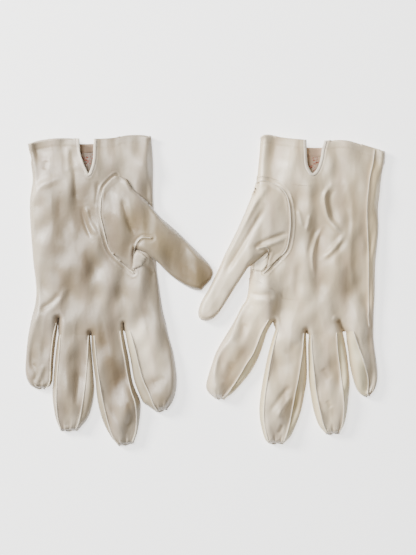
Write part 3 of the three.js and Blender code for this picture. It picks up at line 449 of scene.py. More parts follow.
# A panel is cut larger than it shows from above by what rolls down its folded
# sides: a quarter round of radius r takes r * (pi / 2 - 1) more cloth than it covers.
FINGER_GAP = 0.85                      # mm kept clear between neighbouring fingers lying flat
ROLL_FRONT = FOLD_R * (math.pi / 2 - 1)
ROLL_BACK = (EDGE_Z - FLOOR_Z) * (math.pi / 2 - 1)


def cut_of(poly, along, roll=0.0, edge=0.0, sides=1, holes=()):
    """flat cut of a panel, from its outline only: (width, length), area in mm; along is its length's direction"""
    poly = np.asarray(poly, float)
    along = np.asarray(along, float) / np.linalg.norm(along)
    across = np.array([-along[1], along[0]])
    area = plan_area(poly) - sum(plan_area(h) for h in holes) + roll * edge
    return np.ptp(poly @ across) + roll * sides, np.ptp(poly @ along), area


# ------------------------------------------------------------------ mesh helpers
MATERIALS = {}
PIECES = []


def grid_faces(rows, cols, flip=False):
    i = np.arange((rows - 1) * (cols - 1))
    r, c = i // (cols - 1), i % (cols - 1)
    a = r * cols + c
    q = np.stack([a, a + 1, a + cols + 1, a + cols], 1)
    return q[:, ::-1] if flip else q


def orient(v, f, up=True):
    """turns all faces so that the mesh as a whole faces up (or down)"""
    q = v[f]
    n = np.cross(q[:, 2] - q[:, 0], q[:, 3 if q.shape[1] > 3 else 1] - q[:, 1 if q.shape[1] > 3 else 0])
    s = n[:, 2].sum()
    return f if (s > 0) == up else f[:, ::-1]


def normals(v, f):
    q = v[f]
    n = np.cross(q[:, 2] - q[:, 0], q[:, 3] - q[:, 1])
    out = np.zeros_like(v)
    for k in range(4):
        np.add.at(out, f[:, k], n)
    return out / np.maximum(1e-12, np.linalg.norm(out, axis=1))[:, None]


def solidify(v, f, thick, nor=None):
    """outer surface v, f (quads) with an inner one below it and a rim round every free edge"""
    n = normals(v, f) if nor is None else nor
    used, inv = np.unique(f, return_inverse=True)
    v, f, n = v[used], inv.reshape(f.shape), n[used]
    k = len(v)
    e = np.stack([f, np.roll(f, -1, 1)], -1).reshape(-1, 2)
    key = np.sort(e, 1)
    _, first, count = np.unique(key, axis=0, return_index=True, return_counts=True)
    rim = e[first[count == 1]]
    rims = np.stack([rim[:, 1], rim[:, 0], rim[:, 0] + k, rim[:, 1] + k], 1)
    return np.vstack([v, v - n * thick]), np.vstack([f, f[:, ::-1] + k, rims]), used, np.vstack([n, -n])


def slope_normals(height, p, up=1.0, e=0.2):
    """normals of a height field at points p, the same for every panel that meets there"""
    gx = (height(p + [e, 0]) - height(p - [e, 0])) / (2 * e)
    gy = (height(p + [0, e]) - height(p - [0, e])) / (2 * e)
    n = np.stack([-gx, -gy, np.ones(len(p))], 1) * up
    return n / np.linalg.norm(n, axis=1)[:, None]


def piece(name, v, f, mat, where, nodes=(), tint=None, thick=CLOTH, smooth_shade=True, nor=None):
    """a finished piece, in metres, riding the body it is given, or left fixed where it is built when given a blend"""
    if thick:
        v, f, used, split = solidify(v, f, thick, nor)
        if tint is not None:
            tint = np.vstack([tint[used], tint[used]])
    me = bpy.data.meshes.new(name)
    me.from_pydata((v / 1000).tolist(), [], [tuple(x) for x in f.tolist()])
    me.validate()
    me.polygons.foreach_set("use_smooth", np.full(len(me.polygons), smooth_shade))
    if tint is not None:
        c = me.color_attributes.new("tint", "FLOAT_COLOR", "POINT")
        c.data.foreach_set("color", np.column_stack([tint, np.ones(len(tint))]).astype(np.float32).ravel())
    me.materials.append(MATERIALS[mat])
    me.update()
    if thick and nor is not None and len(me.vertices) == len(split):
        me.normals_split_custom_set_from_vertices(split.tolist())
    o = bpy.data.objects.new(name, me)
    scene.collection.objects.link(o)
    if isinstance(where, str):
        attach(o, where)
    else:
        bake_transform(o)
    if nodes:
        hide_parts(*nodes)
    PIECES.append(o)
    return o


def tube(path, radius, sides=6, taper=True):
    """a closed tube along a path; radius may vary along it"""
    path = np.asarray(path, float)
    n = len(path)
    r = np.broadcast_to(np.asarray(radius, float), (n,)).copy()
    if taper:
        r[0] *= 0.35
        r[-1] *= 0.35
    t = np.gradient(path, axis=0)
    t /= np.maximum(1e-9, np.linalg.norm(t, axis=1))[:, None]
    up = np.array([0, 0, 1.0])
    side = np.cross(t, up)
    side /= np.maximum(1e-9, np.linalg.norm(side, axis=1))[:, None]
    nor = np.cross(side, t)
    a = np.arange(sides) * 2 * np.pi / sides
    ring = (np.cos(a)[None, :, None] * side[:, None] + np.sin(a)[None, :, None] * nor[:, None]) * r[:, None, None]
    v = (path[:, None] + ring).reshape(-1, 3)
    f = []
    for i in range(n - 1):
        for k in range(sides):
            f.append((i * sides + k, i * sides + (k + 1) % sides, (i + 1) * sides + (k + 1) % sides, (i + 1) * sides + k))
    v = np.vstack([v, path[0] - t[0] * r[0] * 0.6, path[-1] + t[-1] * r[-1] * 0.6])
    a0, a1 = len(v) - 2, len(v) - 1
    for k in range(sides):
        f.append((a0, (k + 1) % sides, k))
        f.append((a1, (n - 1) * sides + k, (n - 1) * sides + (k + 1) % sides))
    return v, f


def join(parts):
    vs, fs, base = [], [], 0
    for v, f in parts:
        vs.append(v)
        fs += [tuple(int(i) + base for i in x) for x in f]
        base += len(v)
    return np.vstack(vs), fs


def loose(name, parts, mat, where, nodes=(), tint=None):
    """threads and cords: closed tubes joined in one piece"""
    v, f = join(parts)
    me = bpy.data.meshes.new(name)
    me.from_pydata((v / 1000).tolist(), [], f)
    me.validate()
    me.polygons.foreach_set("use_smooth", np.full(len(me.polygons), True))
    t = np.tile(np.array(tint if tint is not None else (1, 1, 1), float), (len(v), 1))
    c = me.color_attributes.new("tint", "FLOAT_COLOR", "POINT")
    c.data.foreach_set("color", np.column_stack([t, np.ones(len(t))]).astype(np.float32).ravel())
    me.materials.append(MATERIALS[mat])
    me.update()
    o = bpy.data.objects.new(name, me)
    scene.collection.objects.link(o)
    if isinstance(where, str):
        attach(o, where)
    else:
        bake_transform(o)
    if nodes:
        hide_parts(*nodes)
    PIECES.append(o)
    return o


# ------------------------------------------------------------------ materials
def satin(name, base, rough, sheen=0.35, weave=1.0, streak=0.014, spec=0.5, aniso=0.0):
    """satin-faced nylon knit: tinted base, fine ribs along the cloth, faint streaks and mottling"""
    m = bpy.data.materials.new(name)
    m.use_nodes = True
    nt = m.node_tree
    for n in list(nt.nodes):
        nt.nodes.remove(n)
    N, L = nt.nodes.new, nt.links.new
    out = N("ShaderNodeOutputMaterial")
    bs = N("ShaderNodeBsdfPrincipled")
    L(bs.outputs[0], out.inputs[0])
    bs.inputs["Roughness"].default_value = rough
    bs.inputs["Specular IOR Level"].default_value = spec
    bs.inputs["Sheen Weight"].default_value = sheen
    bs.inputs["Sheen Roughness"].default_value = 0.45
    bs.inputs["Anisotropic"].default_value = aniso
    tc = N("ShaderNodeTexCoord")
    # colour: tint attribute x base, with faint mottling and streaks along the length
    att = N("ShaderNodeAttribute")
    att.attribute_name = "tint"
    mp = N("ShaderNodeMapping")
    mp.inputs["Scale"].default_value = (900, 130, 400)
    L(tc.outputs["Object"], mp.inputs[0])
    st = N("ShaderNodeTexNoise")
    st.inputs["Scale"].default_value = 1.0
    st.inputs["Detail"].default_value = 3.0
    L(mp.outputs[0], st.inputs["Vector"])
    mo = N("ShaderNodeTexNoise")
    mo.inputs["Scale"].default_value = 38.0
    mo.inputs["Detail"].default_value = 4.0
    L(tc.outputs["Object"], mo.inputs["Vector"])
    r1 = N("ShaderNodeMapRange")
    r1.inputs["To Min"].default_value = 1 - streak
    r1.inputs["To Max"].default_value = 1 + streak
    L(st.outputs["Fac"], r1.inputs["Value"])
    r2 = N("ShaderNodeMapRange")
    r2.inputs["From Min"].default_value = 0.3
    r2.inputs["From Max"].default_value = 0.7
    r2.inputs["To Min"].default_value = 0.955
    r2.inputs["To Max"].default_value = 1.03
    L(mo.outputs["Fac"], r2.inputs["Value"])
    mul = N("ShaderNodeMath")
    mul.operation = "MULTIPLY"
    L(r1.outputs[0], mul.inputs[0])
    L(r2.outputs[0], mul.inputs[1])
    v1 = N("ShaderNodeVectorMath")
    v1.operation = "SCALE"
    v1.inputs[0].default_value = base
    L(mul.outputs[0], v1.inputs["Scale"])
    v2 = N("ShaderNodeVectorMath")
    v2.operation = "MULTIPLY"
    L(v1.outputs[0], v2.inputs[0])
    L(att.outputs["Vector"], v2.inputs[1])
    L(v2.outputs[0], bs.inputs["Base Color"])
    # knit: two fine rib directions and fibre grain
    w1 = N("ShaderNodeTexWave")
    w1.wave_type = "BANDS"
    w1.bands_direction = "X"
    w1.inputs["Scale"].default_value = 420.0
    w1.inputs["Distortion"].default_value = 0.6
    w1.inputs["Detail"].default_value = 1.0
    w2 = N("ShaderNodeTexWave")
    w2.wave_type = "BANDS"
    w2.bands_direction = "Y"
    w2.inputs["Scale"].default_value = 560.0
    w2.inputs["Distortion"].default_value = 0.8
    L(tc.outputs["Object"], w1.inputs["Vector"])
    L(tc.outputs["Object"], w2.inputs["Vector"])
    mx = N("ShaderNodeMath")
    mx.operation = "MAXIMUM"
    L(w1.outputs["Fac"], mx.inputs[0])
    L(w2.outputs["Fac"], mx.inputs[1])
    gr = N("ShaderNodeTexNoise")
    gr.inputs["Scale"].default_value = 1400.0
    gr.inputs["Detail"].default_value = 2.0
    L(tc.outputs["Object"], gr.inputs["Vector"])
    ad = N("ShaderNodeMath")
    ad.operation = "ADD"
    L(mx.outputs[0], ad.inputs[0])
    L(gr.outputs["Fac"], ad.inputs[1])
    bp = N("ShaderNodeBump")
    bp.inputs["Strength"].default_value = 0.18 * weave
    bp.inputs["Distance"].default_value = 0.00012
    L(ad.outputs[0], bp.inputs["Height"])
    bp2 = N("ShaderNodeBump")
    bp2.inputs["Strength"].default_value = 0.30
    bp2.inputs["Distance"].default_value = 0.0006
    sm = N("ShaderNodeTexNoise")
    sm.inputs["Scale"].default_value = 160.0
    sm.inputs["Detail"].default_value = 2.0
    L(tc.outputs["Object"], sm.inputs["Vector"])
    L(sm.outputs["Fac"], bp2.inputs["Height"])
    L(bp.outputs[0], bp2.inputs["Normal"])
    L(bp2.outputs[0], bs.inputs["Normal"])
    # roughness: knit tops a little glossier
    rr = N("ShaderNodeMapRange")
    rr.inputs["To Min"].default_value = rough + 0.06
    rr.inputs["To Max"].default_value = rough - 0.05
    L(st.outputs["Fac"], rr.inputs["Value"])
    L(rr.outputs[0], bs.inputs["Roughness"])
    MATERIALS[name] = m
    return m


satin("satin_palm", (0.52, 0.437, 0.33), 0.42, sheen=0.2, spec=1.0)
satin("satin_back", (0.53, 0.445, 0.34), 0.40, sheen=0.25, spec=0.7)
satin("satin_inside", (0.50, 0.375, 0.29), 0.75, sheen=0.15, spec=0.25)
satin("satin_side", (0.58, 0.50, 0.365), 0.46, sheen=0.22, spec=0.9)
satin("satin_trim", (0.74, 0.66, 0.54), 0.42, spec=0.7)
satin("thread", (0.74, 0.67, 0.56), 0.50, sheen=0.4, weave=0.4)
satin("print_ink", (0.60, 0.10, 0.07), 0.7, sheen=0.0, weave=0.6, spec=0.2)


# ------------------------------------------------------------------ one glove
class Glove:
    def __init__(self, side):
        self.side = side
        g = GLOVES[side]
        self.flip = side == "right"
        self.g = g
        self.order = ["pinky", "ring", "middle", "index"]
        self.edgeA = dense(A(g["edgeA"]))
        self.edgeT = dense(A(g["edgeB"] + g["edgeC"]), 320)
        cuff, cuffb = A(g["cuffPalm"]), A(g["cuffBack"])
        if self.flip:
            cuff, cuffb = cuff[::-1], cuffb[::-1]
        self.cuff, self.cuffb = dense(cuff), dense(cuffb)
        self.fing = {}
        for f, F in g["fingers"].items():
            L, R = dense(A(F["L"])), dense(A(F["R"]))
            S = {}
            if F["wrap"] == "":
                S["L"], S["R"] = dense(A(F["SL"])), dense(A(F["SR"]))
            elif F["wrap"] == "R":
                S["L"] = dense(A(F["S"]))
            elif F["wrap"] == "L":
                S["R"] = dense(A(F["S"]))
            # start every seam exactly on the flex line, and end it on the tip line
            for k, c in S.items():
                for end, (p, q) in ((0, (L[0], R[0])), (-1, (L[-1], R[-1]))):
                    u = np.clip((c[end] - p) @ (q - p) / ((q - p) @ (q - p)), 0.03, 0.97)
                    off = p + (q - p) * u - c[end]
                    w = np.linspace(1, 0, len(c)) if end == 0 else np.linspace(0, 1, len(c))
                    c += off * (w ** 3)[:, None]
            # the sides between fingers fill out towards each other, clear of the root and the tip,
            # and never by more than leaves FINGER_GAP between one finger and the next
            if f != "thumb":
                k = np.linspace(0, 1, len(L))
                ramp = smooth(k * length(L) / 9) * smooth((1 - k) * length(L) / 8)
                others = np.vstack([dense(A(o[e])) for n, o in g["fingers"].items() if n not in (f, "thumb") for e in "LR"])

                def fill(line):
                    gap = np.array([np.min(np.linalg.norm(others - p, axis=1)) for p in line])
                    gap = np.array([gap[max(0, i - 6):i + 7].min() for i in range(len(gap))])
                    return (ramp * np.clip((gap - FINGER_GAP) / 2, 0, 0.36))[:, None]
                out = (L - R) / np.maximum(1e-6, np.linalg.norm(L - R, axis=1))[:, None]
                fl, fr = fill(L), fill(R)
                if "L" in S:
                    L = L + out * fl
                if "R" in S:
                    R = R - out * fr
            self.fing[f] = dict(L=L, R=R, S=S, wrap=F["wrap"])
        # lateral outline of the hand and fingers, open at the cuff
        run = [self.edgeA[::8]]                                   # cuff to pinky root
        rev = []
        for i, f in enumerate(self.order):
            a, b = (self.fing[f]["L"], self.fing[f]["R"]) if not self.flip else (self.fing[f]["R"], self.fing[f]["L"])
            rev += [a[::6], a[-1:], b[-1:], b[::-6]]
            if i < 3:
                rev.append(A([g["crotch"][i if not self.flip else 2 - i]]))
        self.outline = np.vstack(run + rev + [self.edgeT[::-8]])
        self.hand_poly = np.vstack([self.outline, self.cuff[::-12]])
        # thumb
        T = self.fing["thumb"]
        up = A(g["gussetUp"])[::-1]                               # oval to flex line
        gin = A(g["gussetIn"])                                    # oval to flex line
        first, last = (T["R"], T["L"]) if side == "left" else (T["L"], T["R"])
        self.t_first, self.t_last = first, last
        self.thumb_free = np.vstack([up[:-1], first[::6], first[-1:], last[-1:], last[::-6], gin[::-1][1:]])
        self.oval = dense(A(g["gusset"]), 120)
        self.zone = np.vstack([A(g["gusset"]), gin[1:], up[::-1][:-1]])
        self.thumb_poly = np.vstack([self.thumb_free, A(g["gusset"])[::-1][1:-1]])
        h = A(g["hinge"]["thumb"])
        self.t_hinge = h
        self.notch = A(g["notch"])
        self.strokes = [(amp, w, dense(np.array(pts) + SHIFT, 60) if len(pts) > 2 else dense(np.array(pts) + SHIFT, 30)) for s, amp, w, pts in STROKES if s == side]
        self.stain_and_painted_light_patches = [(np.array(c), r, dense(np.array(pts) + SHIFT, 40)) for s, c, r, pts in STAIN_AND_PAINTED_LIGHT_PATCHES if s == side]
        k = 11 if side == "left" else 47
        self.big = Waves(k, (13, 34), 3.2)
        self.mid = Waves(k + 1, (5, 11), 2.2)
        self.blob = Waves(k + 3, (17, 42), 1.35, n=36, tilt=0.9)
        self.crumple = Waves(k + 4, (8, 17), 1.5, n=40, tilt=0.8)
        self.fine = Waves(k + 2, (2.2, 4.5), 1.6)

    # ---------------- heights
    def wrinkle(self, p):
        """ridges and valleys along the listed lines"""
        z = np.zeros(len(p))
        for amp, w, line in self.strokes:
            lo, hi = line.min(0) - 4 * w, line.max(0) + 4 * w
            m = (p[:, 0] > lo[0]) & (p[:, 0] < hi[0]) & (p[:, 1] > lo[1]) & (p[:, 1] < hi[1])
            if not m.any():
                continue
            d, t = distance(p[m], line[::2] if len(line) > 40 else line, True)
            fade = smooth(t / 0.22) * smooth((1 - t) / 0.22) * 0.85 + 0.15
            z[m] += 1.35 * amp * fade * np.exp(-(d / w) ** 2)
        return z

    def palm_z(self, p, relief=True, dist=None):
        d = distance(p, self.outline) if dist is None else dist
        ins = inside(p, self.hand_poly)
        d = np.where(ins, d, 0)
        z = EDGE_Z + FOLD_R * g_round(d / FOLD_R) + 3.9 * (1 - np.exp(-d / 16))
        # the cuff lies flatter than the middle of the hand
        cy = self.cuff[:, 1].mean()
        z = EDGE_Z + (z - EDGE_Z) * (0.74 + 0.26 * smooth((cy - p[:, 1]) / 38))
        if relief:
            soft = smooth(d / 5)
            z = z + soft * (0.30 * self.big(p) + 1.20 * self.blob(p) + 0.22 * self.crumple(p) + 0.025 * self.mid(p) + 0.012 * self.fine(p)) + smooth(d / 2.5) * self.wrinkle(p)
            z += self.seam_relief(p)
        return np.maximum(z, EDGE_Z)

    def seam_relief(self, p):
        """the cloth beside a seam: a raised lip on it and a shallow groove along it"""
        z = np.zeros(len(p))
        d = distance(p, self.oval[::2])
        z += 0.40 * np.exp(-((d - 2.8) / 0.50) ** 2) - 0.16 * np.exp(-((d - 1.6) / 0.7) ** 2)
        # hem: doubled cloth at the cuff, with its stitched groove
        c = distance(p, self.cuff[::4])
        z += 0.16 * (1 - smooth((c - 4.8) / 1.6)) - 0.10 * np.exp(-((c - 6.0) / 0.6) ** 2)
        # binding of the vent
        n = distance(p, self.notch)
        z += 0.35 * np.exp(-((n - 2.6) / 0.9) ** 2) * 0.6
        if self.side == "right":
            s = distance(p, A(SIDE_SEAM["right"]))
            z += 0.34 * np.exp(-(s / 0.7) ** 2) - 0.07 * np.exp(-((s - 1.8) / 0.9) ** 2)
        return z

    def thumb_z(self, p, relief=True):
        free = distance(p, self.thumb_free)
        free = np.where(inside(p, self.thumb_poly), free, 0)
        sd = signed(p, self.hand_poly)
        out = np.clip(-sd, 0, None)
        palm = self.palm_z(p, relief=False)
        base = EDGE_Z + 5.6 * np.exp(-(out / 13) ** 2)
        e = np.where(sd > 0, np.maximum(palm + 0.35, base), base)
        e = np.maximum(EDGE_Z, e)
        R = 3.6
        top = e + R * g_round(free / R) + 1.9 * (1 - np.exp(-free / 9))
        w = smooth(distance(p, self.oval[::2]) / 15)
        z = palm + 0.55 + (top - palm - 0.55) * w
        z = np.where(inside(p, self.zone), z, top)
        if relief:
            soft = smooth(free / 4)
            z = z + soft * (0.20 * self.big(p) + 0.6 * self.blob(p) + 0.14 * self.crumple(p) + 0.025 * self.mid(p) + 0.012 * self.fine(p)) + smooth(free / 2.2) * self.wrinkle(p)
            d = distance(p, self.oval[::2])
            z += 0.25 * np.exp(-((d - 1.2) / 0.8) ** 2)
            d = distance(p, A(LOOP[self.side]))
            z += 0.30 * np.exp(-(d / 0.6) ** 2) - 0.40 * np.exp(-((d - 1.6) / 0.9) ** 2)
        return np.maximum(z, np.where(inside(p, self.zone), np.minimum(palm + 0.4, z + 9), EDGE_Z)), e

    def back_z(self, p, dist=None, edge=EDGE_Z):
        d = distance(p, self.outline) if dist is None else dist
        z = edge - (edge - FLOOR_Z) * g_round(d / 2.6)
        return z + smooth((d - 2) / 5) * (0.10 + 0.10 * np.clip(self.mid(p), -1, 1))

    def tint(self, p, edge=None, with_stain_and_painted_light=True):
        """colour of the cloth: a slow drift between cream and cool, painted shade along the outline, and the listed
        patches of soiling and yellowing with painted highlights and painted shade
        """
        n = len(p)
        c = np.tile(np.array(BASE[self.side], float), (n, 1))
        drift = np.clip(self.big(p[:, ::-1] * 0.7), -2, 2) * 0.5
        c *= 1 + np.stack([0.012 * drift, 0.004 * drift, -0.010 * drift], 1)
        pink = smooth(np.clip(self.mid(p * 0.45 + 31.0), 0, 2) / 1.6)
        c *= 1 - pink[:, None] * np.array([-0.006, 0.022, 0.014])
        # painted shade: the cloth is darkened within a few millimetres of the outline, where its sides roll down
        if edge is not None:
            c *= 1 - np.exp(-(edge / 1.7) ** 2)[:, None] * np.array([0.30, 0.33, 0.38])
        # the listed patches: painted highlights where the factor is above 1, painted shade mixed with soiling where it
        # is below
        for col, r, line in self.stain_and_painted_light_patches if with_stain_and_painted_light else []:
            lo, hi = line.min(0) - 3 * r, line.max(0) + 3 * r
            m = (p[:, 0] > lo[0]) & (p[:, 0] < hi[0]) & (p[:, 1] > lo[1]) & (p[:, 1] < hi[1])
            if m.any():
                d = distance(p[m], line)
                c[m] *= 1 + (col - 1) * np.exp(-(d / r) ** 2)[:, None]
        return c


def ridge_highlight_hollow_shade(tint, v, rows, cols, strength=0.05):
    """painted shade in the hollows and painted highlight on the ridges, taken from the height of the cloth: hollows a
    little deeper and warmer in tone than ridges
    """
    z = v[:, 2].reshape(rows, cols)
    b = z.copy()
    for _ in range(3):
        b[1:-1] = (b[:-2] + 2 * b[1:-1] + b[2:]) / 4
        b[:, 1:-1] = (b[:, :-2] + 2 * b[:, 1:-1] + b[:, 2:]) / 4
    k = np.clip((z - b) / 0.10, -1, 1).ravel()
    # broad hollows, a centimetre or so across, measured against a box blur
    w = z.copy()
    for axis in (0, 1, 0, 1):
        r = min(9, w.shape[axis] // 3)
        pad = [(0, 0), (0, 0)]
        pad[axis] = (r + 1, r)
        c = np.cumsum(np.pad(w, pad, mode="edge"), axis=axis)
        m = w.shape[axis]
        w = (np.take(c, np.arange(2 * r + 1, 2 * r + 1 + m), axis) - np.take(c, np.arange(0, m), axis)) / (2 * r + 1)
    q = np.tanh((z - w) / 0.75).ravel()
    tone = 1 + strength * k + 0.10 * q
    warm = np.outer(k * strength + q * 0.07, [0, 0.25, 0.75])
    return tint * tone[:, None] * (1 + warm)


def m3(p):
    return tuple(float(x) / 1000 for x in p)


def build(side):
    G = Glove(side)
    g = G.g
    hand = side + "_hand"
    N = lambda s: side + "_" + s
    C = lambda s: side + "_" + s + "_cloth"
    joints = {j["name"]: j for j in frame["joints"]}

    # ------------- columns across each finger, shared by the hand
    cols = {}
    for f in G.order:
        F = G.fing[f]
        base = F["R"][0] - F["L"][0]
        u = lambda q: float((q - F["L"][0]) @ base / (base @ base))
        stops = [0.0] + ([u(F["S"]["L"][0])] if "L" in F["S"] else []) + ([u(F["S"]["R"][0])] if "R" in F["S"] else []) + [1.0]
        w = np.linalg.norm(base)
        counts = [max(4, int(round((b - a) * w / 0.80))) if (b - a) * w > 6 else 6 for a, b in zip(stops, stops[1:])]
        us, marks = [], [0]
        for a, b, n in zip(stops, stops[1:], counts):
            k = np.linspace(0, 1, n + 1)
            if a == 0.0:
                k = 1 - np.cos(k * np.pi / 2) if b < 1 else (1 - np.cos(k * np.pi)) / 2
                k = 0.55 * k + 0.45 * np.linspace(0, 1, n + 1)
            elif b == 1.0:
                k = np.sin(k * np.pi / 2)
                k = 0.55 * k + 0.45 * np.linspace(0, 1, n + 1)
            us += list(a + (b - a) * k[:-1])
            marks.append(len(us))
        us.append(1.0)
        cols[f] = (np.array(us), marks, stops)

    # ------------- plan of each finger
    def finger_plan(f, s):
        F = G.fing[f]
        us, marks, stops = cols[f]
        lines = [F["L"]] + ([F["S"]["L"]] if "L" in F["S"] else []) + ([F["S"]["R"]] if "R" in F["S"] else []) + [F["R"]]
        pts = [at(c, s) for c in lines]
        out = np.zeros((len(s), len(us), 2))
        for i in range(len(lines) - 1):
            a, b = stops[i], stops[i + 1]
            m = slice(marks[i], marks[i + 1] + 1)
            k = (us[m] - a) / (b - a)
            out[:, m] = pts[i][:, None] * (1 - k)[None, :, None] + pts[i + 1][:, None] * k[None, :, None]
        return out

    # ------------- plan of the hand: base line columns follow the fingers' columns
    base_pts, marks_f = [], {}
    for f in G.order:
        us = cols[f][0]
        F = G.fing[f]
        row = F["L"][0] + (F["R"][0] - F["L"][0]) * us[:, None]
        if G.flip:
            row = row[::-1]
        if base_pts:
            prev = base_pts[-1][-1]
            gap = prev + (row[0] - prev) * np.linspace(0, 1, 5)[1:-1, None]
            base_pts.append(gap)
        marks_f[f] = (sum(len(b) for b in base_pts), len(row))
        base_pts.append(row)
    base = np.vstack(base_pts)
    run = np.r_[0, np.cumsum(np.linalg.norm(np.diff(base, axis=0), axis=1))]
    ub = run / run[-1]

    def hand_plan(cuff, s):
        a, b = at(G.edgeA, s), at(G.edgeT, s)
        c = at(cuff, ub)
        k0, k1 = base[0], base[-1]
        S, U = s[:, None, None], ub[None, :, None]
        c0, c1 = G.edgeA[0], G.edgeT[0]
        e0, e1 = c[0], c[-1]
        return ((1 - U) * a[:, None] + U * b[:, None] + (1 - S) * c[None] + S * base[None]
                - (1 - S) * (1 - U) * c0 - (1 - S) * U * c1 - S * (1 - U) * k0 - S * U * k1)

    rows = 168
    s_hand = np.linspace(0, 1, rows)
    P = hand_plan(G.cuff, s_hand)
    nr, nc = P.shape[:2]
    p = P.reshape(-1, 2)

    # snap the cloth to the edge of the vent, and cut it there
    vent = np.vstack([G.notch[:1] + [0, 8], G.notch, G.notch[-1:] + [0, 8]])
    p0 = p
    p, keep_v, moved = fit_grid(p, grid_faces(nr, nc), vent, 0.7, keep_inside=False)
    p[:nc] = np.where(moved[:nc, None], np.column_stack([p[:nc, 0], p0[:nc, 1]]), p[:nc])
    z = G.palm_z(p)
    v = np.column_stack([p, z])
    f = grid_faces(nr, nc)
    f = orient(v, f)
    cen = p[f].mean(1)
    keep = keep_v
    zsd = signed(cen, G.zone)
    keep &= zsd < 2.2
    # painted shade along the outline and in the hollows, painted highlight on the ridges
    t = ridge_highlight_hollow_shade(G.tint(p, distance(p, G.outline)), v, nr, nc)
    nh = normals(v, f)
    nh[-nc:] = slope_normals(G.palm_z, p[-nc:])
    palm_o = piece(C("palm_panel"), v, f[keep], "satin_palm", hand, nodes=[N("palm_panel")], tint=t, nor=nh)
    G.hand_v = v

    # ------------- back of the hand
    Pb = hand_plan(G.cuffb, s_hand)
    lift = (1 - s_hand)[:, None]
    pb = Pb.reshape(-1, 2)
    # the rows below the cuff share the palm's edges
    m = smooth((s_hand - 0.0) / 0.12)[:, None, None]
    Pb = Pb * (1 - m) + P * m
    pb = Pb.reshape(-1, 2)
    zb = G.back_z(pb)
    vb = np.column_stack([pb, zb])
    fb = orient(vb, grid_faces(nr, nc), up=False)
    tb = G.tint(pb + 57.0, with_stain_and_painted_light=False) * 0.97
    # the inside of the wrist is pinker and blotched where it was printed
    vc = np.array([G.notch[:, 0].mean(), G.notch[:, 1].mean()])
    blot = np.exp(-(np.hypot(*(pb - vc).T) / 12) ** 2) * (0.75 + 0.25 * np.clip(G.fine(pb * 0.7), -1, 1))
    tb *= 1 - blot[:, None] * np.array([0.02, 0.20, 0.24])
    nhb = normals(vb, fb)
    nhb[-nc:] = slope_normals(G.back_z, pb[-nc:], -1.0)
    back_o = piece(C("back_panel"), vb, fb, "satin_back", hand, nodes=[N("back_panel")], tint=tb, nor=nhb)

    # ------------- turned hems, inside
    on_palm, on_back = [], []
    nx = G.notch[[0, -1], 0]
    sh = np.linspace(0.004, 0.046, 7)
    Ph = hand_plan(G.cuff, sh)
    ph = Ph.reshape(-1, 2)
    zh = G.palm_z(ph) - CLOTH - 0.22
    vh = np.column_stack([ph, zh])
    fh = orient(vh, grid_faces(len(sh), nc), up=False)
    ch = ph[fh].mean(1)
    dl = distance(ch, G.outline)
    first = (ch[:, 0] < nx.min() - 0.7) & (dl > 1.2)
    second = (ch[:, 0] > nx.max() + 0.7) & (dl > 1.2)
    outer_first = side == "left"
    for tag, sel in (("outer", first if outer_first else second), ("inner", second if outer_first else first)):
        on_palm.append(piece(C("palm_hem_" + tag), vh, fh[sel], "satin_trim", hand, nodes=[N("palm_hem_" + tag)], tint=G.tint(ph) * 0.9))
    Phb = hand_plan(G.cuffb, sh)
    phb = Phb.reshape(-1, 2)
    zhb = G.back_z(phb) + 0.62
    vhb = np.column_stack([phb, zhb])
    fhb = orient(vhb, grid_faces(len(sh), nc), up=True)
    chb = phb[fhb].mean(1)
    on_back.append(piece(C("back_hem"), vhb, fhb[distance(chb, G.outline) > 1.6], "satin_inside", hand, nodes=[N("back_hem")], tint=G.tint(phb, with_stain_and_painted_light=False)))

    # ------------- vent binding: a rolled band round the slit
    nd = dense(G.notch, 90)
    zc = G.palm_z(nd)
    d = np.gradient(nd, axis=0)
    d /= np.linalg.norm(d, axis=1)[:, None]
    nrm = np.stack([-d[:, 1], d[:, 0]], 1)
    test = signed(nd + nrm * 0.6, vent)
    if test.mean() > 0:
        nrm = -nrm                                       # away from the slit
    prof = [(-0.25, -0.75), (-0.55, -0.25), (-0.42, 0.22), (0.1, 0.50), (0.8, 0.52), (1.45, 0.40), (1.75, 0.02), (1.6, -0.25), (0.6, -0.35), (0.2, -0.6)]
    ring = []
    for k, (o, h) in enumerate(prof):
        q = nd + nrm * o
        zz = G.palm_z(nd + nrm * max(o, 0.15)) if o > 0 else zc
        ring.append(np.column_stack([q, zz + h]))
    ring = np.stack(ring, 1)
    n, k = ring.shape[:2]
    vv = ring.reshape(-1, 3)
    ff = []
    for i in range(n - 1):
        for j in range(k):
            ff.append((i * k + j, (i + 1) * k + j, (i + 1) * k + (j + 1) % k, i * k + (j + 1) % k))
    ff.append(tuple(range(k)))
    ff.append(tuple((n - 1) * k + j for j in reversed(range(k))))
    on_palm.append(loose(C("vent_facing"), [(vv, ff)], "satin_trim", hand, nodes=[N("vent_facing")], tint=(1.02, 1.02, 1.02)))
    # its stitches
    st = []
    for s0 in np.arange(0.03, 0.97, 0.026):
        q = at(nd, [s0, s0 + 0.017]) + at(nrm, [s0, s0 + 0.017]) * 1.15
        zz = G.palm_z(q) + 0.56
        st.append(tube(np.column_stack([q, zz]), 0.11, 5))
    on_palm.append(loose(C("vent_stitches"), st, "thread", hand))

